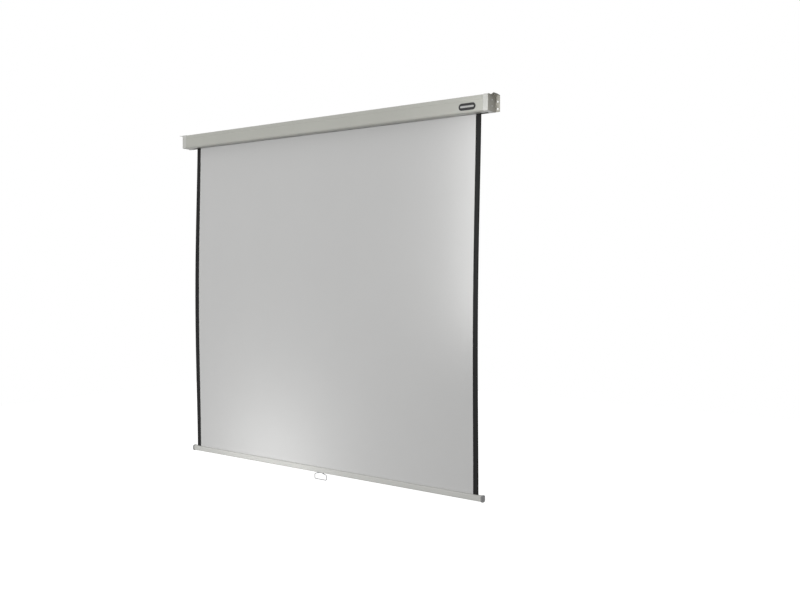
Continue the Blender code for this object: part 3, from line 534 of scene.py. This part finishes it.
def coated_metal(name, colour, worn, roughness):
    """Coat on rolled metal: faint orange peel, rubbed edges, dust and long scuffs."""
    made = Finish(name, roughness)
    tree = made.tree
    tone = made.effect("grain", "Tone", Fine=2600.0, Broad=2.2)
    darker = tuple(part * 0.955 for part in colour)
    lighter = tuple(min(part * 1.03, 1.0) for part in colour)
    coat = mix_colour(tree, stretch(tree, tone, 0.35, 0.65), darker, lighter)
    coat = mix_colour(tree, made.effect("scuffs", "Mask", Amount=0.18), coat, darker)
    coat = mix_colour(tree, made.effect("dust", "Mask", Amount=0.35), coat, (0.50, 0.49, 0.46))
    coat = mix_colour(tree, made.effect("edges", "Mask", Radius=0.0006, Amount=0.5), coat, worn)
    made.to("Base Color", coat)
    scuffed = made.effect("scuffs", "Mask", Amount=0.16)
    smooth = stretch(tree, tone, 0.3, 0.7, roughness - 0.04, roughness + 0.05)
    made.to("Roughness", reckon(tree, "ADD", smooth, scuffed))
    made.bump(made.effect("grain", "Height", Fine=910.0, Broad=1.0), 0.12, 0.0004)
    return made.material


def moulded_plastic(name, colour, roughness, grain=1800.0, coat=0.0):
    """Moulded plastic with a fine spark-eroded grain and slightly polished edges."""
    made = Finish(name, roughness)
    tree = made.tree
    tone = made.effect("grain", "Tone", Fine=grain, Broad=9.0)
    darker = tuple(part * 0.96 for part in colour)
    lighter = tuple(min(part * 1.03, 1.0) for part in colour)
    body = mix_colour(tree, stretch(tree, tone, 0.35, 0.65), darker, lighter)
    body = mix_colour(tree, made.effect("dust", "Mask", Amount=0.3), body, (0.48, 0.47, 0.45))
    rubbed = made.effect("edges", "Mask", Radius=0.0008, Amount=0.6)
    body = mix_colour(tree, rubbed, body, lighter)
    made.to("Base Color", body)
    made.to("Roughness", stretch(tree, tone, 0.3, 0.7, roughness - 0.05, roughness + 0.06))
    made.bump(made.effect("grain", "Height", Fine=grain, Broad=1.0), 0.18, 0.0002)
    made.set(Coat_Weight=coat, Coat_Roughness=0.2)
    return made.material


def plated_steel(name, colour, roughness, stain, drawn=(1.0, 1.0, 1.0)):
    """Bright or plated steel with soft crystal patches and dull spots."""
    made = Finish(name, roughness, metallic=1.0)
    tree = made.tree
    turned = scaled_place(tree, made.place, drawn)
    cells = add_node(tree, "TexVoronoi", {"Scale": 260.0}, {"Vector": turned}, feature="F1")
    cell_tone = add_node(tree, "SeparateColor", links={0: cells.outputs["Color"]}).outputs[0]
    tone = made.effect("grain", "Tone", Fine=900.0, Broad=14.0)
    darker = tuple(part * 0.86 for part in colour)
    body = mix_colour(tree, stretch(tree, cell_tone, 0.0, 1.0, 0.0, 0.7), colour, darker)
    body = mix_colour(tree, stretch(tree, tone, 0.52, 0.72, 0.0, 0.6), body, stain)
    made.to("Base Color", body)
    dull = weighted_sum(tree, cell_tone, 0.10, tone, 0.12)
    made.to("Roughness", reckon(tree, "ADD", dull, roughness - 0.1))
    made.bump(made.effect("grain", "Height", Fine=900.0, Broad=1.0), 0.1, 0.0002)
    return made.material


def screen_cloth(name, colour, roughness, gloss, painted_sheen_band=None):
    """Coated cloth with a plain weave and faint slubs.

    A painted sheen band, lighter along its middle and darker towards its edges as painted
    light and shade, is given by its middle's distance from the screen's middle, the distances
    from its own middle where its fade starts and ends, and the colour outside it.
    """
    made = Finish(name, roughness)
    tree = made.tree
    tone = made.effect("weave", "Tone", Threads=THREADS_PER_METRE)
    darker = tuple(part * 0.985 for part in colour)
    cloth = mix_colour(tree, stretch(tree, tone, 0.35, 0.65), darker, colour)
    # Painted sheen down the border's middle, with painted shade towards its edges.
    if painted_sheen_band:
        middle, fade_start, fade_end, painted_shade_edge = painted_sheen_band
        across = add_node(tree, "SeparateXYZ", links={0: made.place}).outputs["X"]
        past_middle = reckon(tree, "SUBTRACT", reckon(tree, "ABSOLUTE", across), middle)
        fade = stretch(tree, reckon(tree, "ABSOLUTE", past_middle), fade_start, fade_end)
        cloth = mix_colour(tree, fade, cloth, painted_shade_edge)
    weave = made.effect("weave", "Height", Threads=THREADS_PER_METRE)
    thread_tone = product(tree, weave, 0.10)
    cloth = mix_colour(tree, thread_tone, cloth, tuple(part * 0.9 for part in colour))
    made.to("Base Color", cloth)
    made.to("Roughness", stretch(tree, tone, 0.3, 0.7, roughness - 0.04, roughness + 0.04))
    made.set(Specular_IOR_Level=gloss)
    made.bump(weave, 0.35, 0.00006)
    return made.material


CASE_COAT = coated_metal("case_coat", (0.43, 0.432, 0.395), (0.37, 0.37, 0.355), 0.40)
# A darker, browner copy of the case's coat for the brackets, matched to their end plates in shade:
# painted shade.
BRACKET_COAT_PAINTED_SHADE = coated_metal("bracket_coat_painted_shade", (0.375, 0.364, 0.322), (0.32, 0.31, 0.28), 0.42)
# Near-black for the case's inside and its turned-up hems: painted shade, so the slot reads dark.
CASE_INSIDE_SHADE = coated_metal("case_inside_painted_shade", (0.030, 0.030, 0.030), (0.05, 0.05, 0.05), 0.55)
BAR_COAT = coated_metal("bar_coat", (0.515, 0.515, 0.492), (0.43, 0.43, 0.412), 0.38)
COVER_PLASTIC = moulded_plastic("cover_plastic", (0.51, 0.512, 0.487), 0.42)
# Dark grey for the bar's caps, darker than the bar so that their end faces look shaded: painted
# shade.
BAR_END_PAINTED_SHADE = moulded_plastic("bar_end_plastic_painted_shade", (0.20, 0.20, 0.20), 0.28, coat=0.3)
# Black for the roller's plugs and holders, taken from the dark slot: painted shade.
BLACK_NYLON_SHADE = moulded_plastic("black_nylon_painted_shade", (0.035, 0.035, 0.036), 0.5)
BADGE_DARK = moulded_plastic("badge_dark", (0.010, 0.010, 0.011), 0.30, grain=3200.0)
ZINC = plated_steel("bright_zinc", (0.62, 0.63, 0.64), 0.36, (0.46, 0.46, 0.45))
GALVANISED = plated_steel(
    "galvanised_tube", (0.56, 0.57, 0.58), 0.42, (0.43, 0.43, 0.43), drawn=(0.4, 1.0, 1.0)
)
SPRING_STEEL = plated_steel("blued_spring_wire", (0.25, 0.26, 0.28), 0.34, (0.20, 0.17, 0.14))
HANDLE_STEEL = plated_steel("handle_steel", (0.17, 0.17, 0.17), 0.32, (0.12, 0.12, 0.12))
BADGE_SILVER = plated_steel(
    "brushed_silver", (0.34, 0.34, 0.333), 0.42, (0.38, 0.38, 0.373), drawn=(0.15, 3.0, 3.0)
)
SCREEN_WHITE = screen_cloth("screen_white", (0.555, 0.555, 0.55), 0.80, 0.3)
# Black border cloth, with a painted sheen band down each border's middle that darkens towards its
# edges.
BORDER_BLACK = screen_cloth(
    "border_black",
    (0.014, 0.014, 0.014),
    0.62,
    0.12,
    painted_sheen_band=(HALF_SHEET - BORDER_WIDTH / 2, 0.008, 0.013, (0.007, 0.007, 0.007)),
)

# Case, its end covers and its brackets


def press_groove():
    """Presses the shallow groove into the open piece's front face."""
    front = CASE_LOW.y
    outer, inner = GROOVE_WIDTH / 2, GROOVE_WIDTH / 4
    for away in (-outer, -inner, inner, outer):
        cut_at((0, 0, GROOVE_HEIGHT + away), (0, 0, 1), only=lambda c, n: n.y < -FACING)
    pick("faces", lambda c, n: n.y < -FACING and abs(c.z - GROOVE_HEIGHT) < inner)
    bpy.ops.transform.translate(value=(0, GROOVE_DEPTH, 0))
    lines = [(front, GROOVE_HEIGHT - outer), (front, GROOVE_HEIGHT + outer)]
    bottom = front + GROOVE_DEPTH
    lines += [(bottom, GROOVE_HEIGHT - inner), (bottom, GROOVE_HEIGHT + inner)]
    round_long_edges(lines, GROOVE_RADIUS, 2)


def round_case_corners(top, lower_radius):
    round_long_edges([(CASE_LOW.y, CASE_LOW.z)], lower_radius, 12)
    round_long_edges([(CASE_LOW.y, top)], CASE_UPPER_RADIUS, 8)
    round_long_edges([(CASE_HIGH.y, CASE_LOW.z), (CASE_HIGH.y, top)], CASE_BACK_RADIUS, 5)


def delete_faces(test):
    pick("faces", test)
    bpy.ops.mesh.delete(type="ONLY_FACE")


def make_case():
    """The rolled case: a block, slotted below, with hems turned up into the slot."""
    case = block("case_body", CASE_LOW, CASE_HIGH)
    delete_faces(lambda c, n: abs(n.x) > FACING)
    for y in (SLOT_FRONT_Y, SLOT_BACK_Y):
        cut_at((0, y, 0), (0, 1, 0), only=lambda c, n: n.z < -FACING)
    delete_faces(lambda c, n: n.z < -FACING and SLOT_FRONT_Y < c.y < SLOT_BACK_Y)
    hems = [(SLOT_FRONT_Y, CASE_LOW.z), (SLOT_BACK_Y, CASE_LOW.z)]
    pick("edges", lambda middle, way: along_x(middle, way, hems))
    draw_out(z=HEM_HEIGHT)
    press_groove()
    round_long_edges(hems, HEM_RADIUS, 5)
    round_case_corners(CASE_HIGH.z, CASE_LOWER_RADIUS)
    close_piece(case)
    # The inside and the hems turned up into the slot get the near-black coat: painted shade for the
    # dark slot.
    give_wall(case, CASE_WALL, inside=(CASE_COAT, CASE_INSIDE_SHADE))
    reach = CASE_WALL * 1.5
    for face in case.data.polygons:
        _, y, z = face.center
        turned_up = 0 < z - CASE_LOW.z < HEM_HEIGHT and abs(face.normal.z) < 0.5
        if turned_up and SLOT_FRONT_Y - reach < y < SLOT_BACK_Y + reach:
            face.material_index = 1
    put_on(case, "case", [CASE_COAT], ["case_shell"])


def make_end_covers():
    """Moulded covers on the case's ends, with a fine joint line against the case."""
    _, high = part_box("end_cap_right")
    seam = CASE_HIGH.x + COVER_SEAM
    cover = block("end_cover_right", (seam, CASE_LOW.y, CASE_LOW.z), high)
    round_case_corners(high.z, COVER_LOWER_RADIUS)
    delete_faces(lambda c, n: n.x < -FACING)
    close_piece(cover)
    give_wall(cover, COVER_WALL)
    open_again(cover)
    bpy.ops.mesh.remove_doubles(threshold=COVER_INNER_MERGE)
    press_groove()
    close_piece(cover)
    left = copy_piece(cover, "end_cover_left", mirror=True)
    for piece, side in ((cover, "right"), (left, "left")):
        soften_edges(piece, COVER_SOFT, 3, above_deg=60)
        put_on(piece, "case", [COVER_PLASTIC], [f"end_cap_{side}"])


def make_brackets():
    """Bent sheet brackets: a plate on the case's end, an ear at the wall and a ceiling flange."""
    low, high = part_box("mount_bracket_right")
    plate_out = low.x + BRACKET_SHEET
    bracket = block("bracket_right", low, (plate_out, high.y, high.z))
    round_long_edges([(low.y, low.z)], COVER_LOWER_RADIUS, 10)
    round_long_edges([(low.y, high.z)], CASE_UPPER_RADIUS, 6)
    round_long_edges([(high.y, low.z)], CASE_BACK_RADIUS, 4)
    ear_front = high.y - BRACKET_SHEET
    flange_low = high.z - BRACKET_SHEET
    flange_root = low.y + FLANGE_ROOT_SETBACK
    for y in (ear_front, flange_root, ROLLER_Y):
        cut_at((0, y, 0), (0, 1, 0))
    for z in (low.z + EAR_RISE, flange_low):
        cut_at((0, 0, z), (0, 0, 1))

    def in_ear(c):
        return c.y > ear_front and c.z > low.z + EAR_RISE

    def in_flange(c):
        return c.z > flange_low and c.y > flange_root

    def slant_front(x, y, to_y):
        """Moves the flange's front corner at x forward, from one depth to another."""
        pick("verts", lambda c, n: near(c.x, x) and near(c.y, y) and c.z > flange_low - NEAR)
        bpy.ops.transform.translate(value=(0, to_y - y, 0))

    def pick_end(x, test):
        pick("faces", lambda c, n: n.x > FACING and near(c.x, x) and test(c))

    pick_end(plate_out, lambda c: in_ear(c) or in_flange(c))
    draw_out(x=FLANGE_REAR_WIDTH)
    reach = plate_out + FLANGE_REAR_WIDTH
    part_way = flange_root - FLANGE_ROOT_SETBACK * FLANGE_REAR_WIDTH / (high.x - plate_out)
    slant_front(reach, flange_root, part_way)
    pick_end(reach, lambda c: c.z > flange_low and c.y < ear_front)
    draw_out(x=high.x - reach)
    slant_front(high.x, part_way, low.y)
    pick("verts", lambda c, n: near(c.x, high.x) and near(c.y, ear_front))
    bpy.ops.transform.translate(value=(reach - high.x, 0, 0))
    pick_end(reach, in_ear)
    draw_out(x=EAR_WIDTH - FLANGE_REAR_WIDTH)
    close_piece(bracket)
    ear_middle = plate_out + EAR_WIDTH / 2
    flange_middle = (plate_out + high.x) / 2
    holes = [((ear_middle, 0, z), ALONG_Y) for z in EAR_HOLE_HEIGHTS]
    holes.append(((flange_middle, ROLLER_Y, high.z), (0, 0, 0)))
    for place, turn in holes:
        cutter = drum("hole", place, MOUNT_HOLE / 2, HOLE_CUTTER_LENGTH, 48, turn)
        cut_with(bracket, close_piece(cutter))
    left = copy_piece(bracket, "bracket_left", mirror=True)
    for piece, side in ((bracket, "right"), (left, "left")):
        soften_edges(piece, BRACKET_SOFT, 3, above_deg=50)
        # The brackets' darker, browner coat is painted shade.
        put_on(piece, "case", [BRACKET_COAT_PAINTED_SHADE], [f"mount_bracket_{side}"])


def make_screw(name, head, shank, length):
    """A pan-head screw with a cross recess, its head's seat at the origin and its head up."""
    rise = head * SCREW_HEAD_RISE
    screw = drum(name, (0, 0, rise / 2), head / 2, rise, 40)
    pick("faces", lambda c, n: n.z > FACING)
    bpy.ops.mesh.bevel(offset=rise * 0.75, segments=6, affect="EDGES", profile=0.5)
    pick("faces", lambda c, n: n.z < -FACING)
    bpy.ops.mesh.inset(thickness=head / 2 - shank / 2)
    draw_out(z=-(length - shank / 2))
    draw_out(z=-shank / 2)
    bpy.ops.transform.resize(value=(0.5, 0.5, 1), center_override=(0, 0, -length))
    close_piece(screw)
    arm, width, bottom = head * 0.27, head * 0.07, rise * 0.3
    for x, y in ((arm, width), (width, arm)):
        slot = block("recess", (-x, -y, bottom), (x, y, rise * 2))
        pick("verts", lambda c, n: c.z < rise)
        bpy.ops.transform.resize(value=(0.62, 0.62, 1), center_override=(0, 0, bottom))
        cut_with(screw, close_piece(slot))
    return screw


def put_on_screw(screw, body, node):
    put_on(screw, body, [ZINC], [node], smooth_deg=40, level_faces=False)


def make_bracket_screws():
    """The screws that hold the brackets' plates, their crosses turned differently."""
    low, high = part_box("bracket_screw_right_upper")
    head = high.z - low.z
    model = make_screw("screw_model", head, BRACKET_SCREW_SHANK, BRACKET_SCREW_LENGTH)
    seat = high.x - head * SCREW_HEAD_RISE
    for side, name in ((1, "right"), (-1, "left")):
        turn = Matrix.Rotation(side * math.pi / 2, 4, "Y")
        for level, z in (("upper", BRACKET_SCREW_Z), ("lower", -BRACKET_SCREW_Z)):
            spin = Matrix.Rotation(0.5 + z * 40, 4, "X")
            place = (side * seat, ROLLER_Y, z)
            screw = copy_piece(model, f"plate_screw_{name}_{level}", place, spin @ turn)
            put_on_screw(screw, "case", f"bracket_screw_{name}_{level}")
    bpy.data.objects.remove(model)


def make_oval(name, node, front_edge):
    """A flat oval with half-round ends and a rounded front rim."""
    low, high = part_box(node)
    middle = (low + high) / 2
    radius = (high.z - low.z) / 2
    oval = drum(name, middle, radius, high.y - low.y, 64, ALONG_Y)
    for side in (-1, 1):
        pick("verts", lambda c, n: (c.x - middle.x) * side > NEAR)
        bpy.ops.transform.translate(value=(side * ((high.x - low.x) / 2 - radius), 0, 0))
    pick("faces", lambda c, n: n.y < -FACING)
    bpy.ops.mesh.bevel(offset=front_edge, segments=3, affect="EDGES")
    return oval


def make_badge():
    """A plain dark oval with a raised rim, and a plain silver bar across it."""
    oval = make_oval("badge_oval", "badge_plate", BADGE_FRONT_EDGE)
    pick("faces", lambda c, n: n.y < -0.99)
    bpy.ops.mesh.inset(thickness=BADGE_RIM)
    bpy.ops.mesh.inset(thickness=BADGE_SINK, depth=-BADGE_SINK)
    close_piece(oval)
    put_on(oval, "case", [BADGE_DARK], ["badge_plate"])
    strip = close_piece(make_oval("badge_strip", "badge_bar", STRIP_FRONT_EDGE))
    put_on(strip, "case", [BADGE_SILVER], ["badge_bar"])


# Cloth


def cloth_grid(name, columns, rows):
    """A flat grid one metre square in X and Y, opened for editing."""
    bpy.ops.object.select_all(action="DESELECT")
    bpy.ops.mesh.primitive_grid_add(x_subdivisions=columns, y_subdivisions=rows, size=1)
    return open_piece(name)


def lay_borders(cloth):
    """Cuts the grid at the borders' inner edges, and gives the strips outside the black cloth."""
    inner = (HALF_SHEET - BORDER_WIDTH) / (2 * HALF_SHEET)
    for x in (-inner, inner):
        cut_at((x, 0, 0), (1, 0, 0))
    cloth.data.materials.append(SCREEN_WHITE)
    cloth.data.materials.append(BORDER_BLACK)
    pick("faces", lambda c, n: abs(c.x) > inner)
    cloth.active_material_index = 1
    bpy.ops.object.material_slot_assign()
    bpy.ops.mesh.select_all(action="DESELECT")
    bpy.ops.object.mode_set(mode="OBJECT")


def share_of_drop(z):
    """0 at the case's underside, 1 at the bar's top."""
    return min(max((CASE_LOW.z - z) / (CASE_LOW.z - BAR_HIGH.z), 0.0), 1.0)


def sheet_forward(z):
    """How far forward of its top line the hanging sheet stands at this height."""
    return SHEET_BOW * math.sin(math.pi * share_of_drop(z)) ** BOW_POWER


def drape(x, z):
    """Shallow waves and curled edges, none where the roll and the bar hold the cloth."""
    share = share_of_drop(z)
    wave = sum(
        height * math.sin(rate * x + start + drift * share)
        for height, rate, start, drift in SHEET_WAVES
    )
    edge = max(abs(x) - (HALF_SHEET - CURL_WIDTH), 0.0) / CURL_WIDTH
    return math.sin(math.pi * share) * (wave + EDGE_CURL * edge * edge)


def finish_cloth(cloth, body, node):
    open_again(cloth)
    close_piece(cloth)
    give_wall(cloth, SHEET_THICKNESS, side=0)
    put_on(cloth, body, [], [node], smooth_deg=60, level_faces=False)


def make_sheet():
    """The hanging sheet, from the roll down into the bar's slot."""
    low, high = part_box("screen_sheet")
    cloth = cloth_grid("hanging_sheet", columns=60, rows=110)
    lay_borders(cloth)
    for vert in cloth.data.vertices:
        x = vert.co.x * 2 * HALF_SHEET
        z = high.z + (low.z - high.z) * (vert.co.y + 0.5)
        vert.co = (x, SHEET_Y - sheet_forward(z) - drape(x, z), z)
    finish_cloth(cloth, "case", "screen_sheet")
    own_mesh(cloth)


def make_turns():
    """The turns of cloth that stay on the roller, winding in from where the sheet leaves it."""
    cloth = cloth_grid("rolled_turns", columns=8, rows=120)
    lay_borders(cloth)
    outer_radius = WRAP_RADIUS - SHEET_THICKNESS / 2
    for vert in cloth.data.vertices:
        turns = WRAP_TURNS * (vert.co.y + 0.5)
        radius = outer_radius - WRAP_PITCH * turns
        angle = math.tau * turns
        vert.co = (
            vert.co.x * 2 * HALF_SHEET,
            ROLLER_Y + radius * math.cos(angle),
            radius * math.sin(angle),
        )
    finish_cloth(cloth, "roller", "sheet_wraps")


# Bottom bar, its end caps and its handle


def make_bar():
    """The drawn bar: a block with rounded long edges and a slot along its top for the sheet."""
    bar = block("bar_body", BAR_LOW, BAR_HIGH)
    delete_faces(lambda c, n: abs(n.x) > FACING)
    middle = (BAR_LOW.y + BAR_HIGH.y) / 2
    for y in (middle - BAR_SLOT / 2, middle + BAR_SLOT / 2):
        cut_at((0, y, 0), (0, 1, 0), only=lambda c, n: n.z > FACING)
    delete_faces(lambda c, n: n.z > FACING and abs(c.y - middle) < BAR_SLOT / 2)
    corners = [(y, z) for y in (BAR_LOW.y, BAR_HIGH.y) for z in (BAR_LOW.z, BAR_HIGH.z)]
    round_long_edges(corners, BAR_RADIUS, 12)
    close_piece(bar)
    give_wall(bar, BAR_WALL)
    put_on(bar, "bar", [BAR_COAT], ["bottom_bar"])


def make_bar_caps():
    """Push-on caps, a little larger than the bar all round, with a domed outer rim."""
    _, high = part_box("bar_cap_right")
    low = Vector((high.x - BAR_CAP_LENGTH, BAR_LOW.y - BAR_CAP_PROUD, BAR_LOW.z - BAR_CAP_PROUD))
    back, top = BAR_HIGH.y + BAR_CAP_PROUD, BAR_HIGH.z + BAR_CAP_PROUD
    cap = block("bar_end_right", low, (high.x, back, top))
    corners = [(y, z) for y in (low.y, back) for z in (low.z, top)]
    round_long_edges(corners, BAR_RADIUS + BAR_CAP_PROUD, 10)
    pick("faces", lambda c, n: n.x > FACING)
    bpy.ops.mesh.bevel(offset=BAR_CAP_OUTER_RIM, segments=5, affect="EDGES")
    pick("faces", lambda c, n: n.x < -FACING)
    bpy.ops.mesh.bevel(offset=BAR_CAP_INNER_RIM, segments=2, affect="EDGES")
    close_piece(cap)
    left = copy_piece(cap, "bar_end_left", mirror=True)
    for piece, side in ((cap, "right"), (left, "left")):
        # The caps' dark grey is painted shade for their end faces.
        put_on(piece, "bar", [BAR_END_PAINTED_SHADE], [f"bar_cap_{side}"])


def make_clip():
    """The plate under the bar, with two rolled eyes for the handle and two screws."""
    low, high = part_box("handle_clip")
    plate = block("handle_plate", (low.x, low.y, high.z - CLIP_SHEET), high)
    pick("edges", lambda middle, way: abs(way.z) > 0.99)
    bpy.ops.mesh.bevel(offset=CLIP_CORNER, segments=6, affect="EDGES")
    close_piece(plate)
    soften_edges(plate, CLIP_SOFT)
    radius = (high.z - CLIP_SHEET / 2 - low.z) / 2
    parts = [plate]
    for x in EYE_PLACES:
        place = (x, SHEET_Y, low.z + radius)
        eye = close_piece(drum("eye", place, radius, EYE_WIDTH, 40, ALONG_X, ends="NOTHING"))
        give_wall(eye, EYE_WALL)
        soften_edges(eye, CLIP_SOFT, above_deg=60)
        parts.append(eye)
    clip = join_pieces("handle_plate", parts)
    put_on(clip, "bar", [ZINC], ["handle_clip"], smooth_deg=40)
    low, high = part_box("clip_screw_left")
    head = high.y - low.y
    seat = low.z + head * SCREW_HEAD_RISE
    model = make_screw("screw_model", head, CLIP_SCREW_SHANK, CLIP_SCREW_LENGTH)
    for side, name in ((-1, "left"), (1, "right")):
        turn = Matrix.Rotation(0.4 * side, 4, "Z") @ Matrix.Rotation(math.pi, 4, "X")
        place = (side * CLIP_SCREW_X, SHEET_Y, seat)
        screw = copy_piece(model, f"plate_pin_screw_{name}", place, turn)
        put_on_screw(screw, "bar", f"clip_screw_{name}")
    bpy.data.objects.remove(model)


def bend_wire(name, corners, y, thickness):
    """Round wire drawn and bent through (x, z, radius) corners at one depth."""
    places = [Vector((x, y, z)) for x, z, _ in corners]
    bpy.ops.object.select_all(action="DESELECT")
    bpy.ops.mesh.primitive_circle_add(
        vertices=16, radius=thickness / 2, fill_type="NGON", rotation=ALONG_X
    )
    wire = open_piece(name, places[0])
    bpy.ops.mesh.select_mode(type="FACE")
    bpy.ops.mesh.select_all(action="SELECT")
    here = places[0]
    for before, corner, after, (_, _, radius) in zip(places, places[1:], places[2:], corners[1:]):
        way, next_way = (corner - before).normalized(), (after - corner).normalized()
        turn = way.angle(next_way)
        back = radius * math.tan(turn / 2)
        bend_start = corner - way * back
        draw_out(*(bend_start - here))
        axis = way.cross(next_way).normalized()
        centre = bend_start + axis.cross(way) * radius
        bpy.ops.mesh.spin(steps=8, angle=-turn, center=centre, axis=axis)
        here = corner + next_way * back
    draw_out(*(places[-1] - here))
    return close_piece(wire)


def make_handle():
    """The wire handle, hanging straight down from the clip's eyes."""
    low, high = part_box("pull_handle")
    hinge = high.z - WIRE / 2
    grip = low.z + WIRE / 2
    half = high.x - WIRE / 2
    shoulder_x = EYE_PLACES[1] + EYE_WIDTH / 2 + WIRE / 2
    corners = [
        (EYE_PLACES[1] - EYE_WIDTH / 2 - WIRE_PAST_EYE, hinge, 0),
        (shoulder_x, hinge, WIRE),
        (half, hinge - WIRE_SHOULDER_DROP, WIRE_BEND),
        (half, grip, WIRE_BEND),
    ]
    mirrored = [(-x, z, radius) for x, z, radius in reversed(corners)]
    wire = bend_wire("handle_wire", corners + mirrored, SHEET_Y, WIRE)
    soften_edges(wire, WIRE_SOFT, above_deg=60)
    put_on(
        wire,
        "handle",
        [HANDLE_STEEL],
        ["pull_handle"],
        smooth_deg=50,
        level_faces=False,
    )


make_case()
make_end_covers()
make_brackets()
make_bracket_screws()
make_badge()
make_turns()
make_sheet()
make_bar()
make_bar_caps()
make_clip()
make_handle()

# The solids that show as they are
SHOWN_AS_THEY_ARE = (
    (GALVANISED, "roller_tube"),
    (ZINC, "idle_pin pawl_pin collar_pin hem_rod ratchet_wheel lock_pawl spring_shaft"),
    (SPRING_STEEL, "torsion_spring"),
    # The plugs and holders are black as painted shade for the dark slot.
    (BLACK_NYLON_SHADE, "roller_plug_left roller_plug_right shaft_holder bearing_holder bearing_bush"),
    (BLACK_NYLON_SHADE, "spring_fixed_collar spring_drive_plug"),
)
for material, nodes in SHOWN_AS_THEY_ARE:
    for node in nodes.split():
        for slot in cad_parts[node].material_slots:
            slot.material = material

# Floor, light and camera


def seen_directly(tree):
    """1 for what the camera sees, straight or in metal or through glass."""
    path = add_node(tree, "LightPath")
    seen = path.outputs["Is Camera Ray"]
    for other in ("Is Glossy Ray", "Is Transmission Ray"):
        seen = reckon(tree, "MAXIMUM", seen, path.outputs[other])
    return seen


def mix_shaders(tree, mask, below, above):
    links = {0: mask, 1: below.outputs[0], 2: above.outputs[0]}
    return add_node(tree, "MixShader", links=links)


def make_world():
    """Soft light from above that fades below the horizon, on a white background."""
    world = bpy.data.worlds.new("white_room")
    bpy.context.scene.world = world
    world.use_nodes = True
    tree = world.node_tree
    tree.nodes.clear()
    way = add_node(tree, "TexCoord").outputs["Generated"]
    height = add_node(tree, "SeparateXYZ", links={0: way}).outputs["Z"]
    strength = stretch(tree, height, 0.1, 0.7, to_low=0.05, to_high=0.75)
    light = add_node(tree, "Background", {"Color": (1.0, 1.0, 1.0, 1.0)}, {"Strength": strength})
    white = add_node(tree, "Background", {"Color": (1.0, 1.0, 1.0, 1.0), "Strength": 1.0})
    mixed = mix_shaders(tree, seen_directly(tree), light, white)
    outlet = tree.nodes.new("ShaderNodeOutputWorld")
    tree.links.new(mixed.outputs[0], outlet.inputs[0])


def make_floor():
    """A pale floor that shows white, keeps the screen's faint shadow, and is clear from below."""
    bpy.ops.object.select_all(action="DESELECT")
    bpy.ops.mesh.primitive_plane_add(size=FLOOR_SIZE, location=(0, 0, FLOOR_HEIGHT))
    floor = bpy.context.object
    floor.name = "pale_floor"
    material = bpy.data.materials.new("pale_floor")
    material.use_nodes = True
    tree = material.node_tree
    shader = tree.nodes["Principled BSDF"]
    shader.inputs["Base Color"].default_value = (0.4, 0.4, 0.4, 1.0)
    shader.inputs["Roughness"].default_value = 0.9
    shader.inputs["Specular IOR Level"].default_value = 0.1
    glow = add_node(tree, "Emission", {"Strength": 0.85})
    lit = add_node(tree, "AddShader", links={0: shader.outputs[0], 1: glow.outputs[0]})
    seen = mix_shaders(tree, seen_directly(tree), shader, lit)
    clear = add_node(tree, "BsdfTransparent")
    from_below = add_node(tree, "NewGeometry").outputs["Backfacing"]
    both = mix_shaders(tree, from_below, seen, clear)
    tree.links.new(both.outputs[0], tree.nodes["Material Output"].inputs[0])
    floor.data.materials.append(material)


def add_area_lamp(name, place, aim, power, **settings):
    data = bpy.data.lights.new(name, "AREA")
    data.energy = power
    for key, value in settings.items():
        setattr(data, key, value)
    lamp = bpy.data.objects.new(name, data)
    lamp.location = place
    lamp.rotation_euler = (Vector(aim) - Vector(place)).to_track_quat("-Z", "Y").to_euler()
    lamp.visible_camera = False
    bpy.context.scene.collection.objects.link(lamp)
    return lamp


def make_lamps():
    """A broad light in front, and two near ones for the glows low down and on the right."""
    add_area_lamp("front_light", (0.45, -7.5, -0.3), (-4.5, 0, 3.0), 376, size=1.3)
    low = add_area_lamp("low_glow", (-0.36, -0.64, -1.9), (-0.36, 0, -1.93), 1.76, size=0.3)
    side = add_area_lamp(
        "side_glow",
        (1.24, -0.36, -0.53),
        (0.97, 0, -0.53),
        0.69,
        shape="RECTANGLE",
        size=0.1,
        size_y=1.15,
        spread=math.radians(80),
    )
    for lamp in (low, side):
        lamp.visible_glossy = False


def make_camera():
    """The photograph's viewpoint: place, turn, tilt and roll in the screen's own frame."""
    data = bpy.data.cameras.new("photo_camera")
    data.lens = LENS
    data.sensor_width = FILM_WIDTH
    data.sensor_fit = "HORIZONTAL"
    data.clip_start = 0.05
    data.clip_end = 100
    turn, tilt, roll = (math.radians(angle) for angle in CAMERA_TURN_TILT_ROLL)
    forward = Vector(
        (-math.sin(turn) * math.cos(tilt), math.cos(turn) * math.cos(tilt), math.sin(tilt))
    )
    level = Vector((math.cos(turn), math.sin(turn), 0))
    upright = level.cross(forward)
    right = level * math.cos(roll) + upright * math.sin(roll)
    up = upright * math.cos(roll) - level * math.sin(roll)
    axes = Matrix((right, up, -forward)).transposed().to_4x4()
    camera = bpy.data.objects.new("photo_camera", data)
    camera.matrix_world = Matrix.Translation(CAMERA_PLACE) @ axes
    bpy.context.scene.collection.objects.link(camera)
    bpy.context.scene.camera = camera


make_world()
make_floor()
make_lamps()
make_camera()
bpy.context.scene.view_settings.view_transform = "Standard"
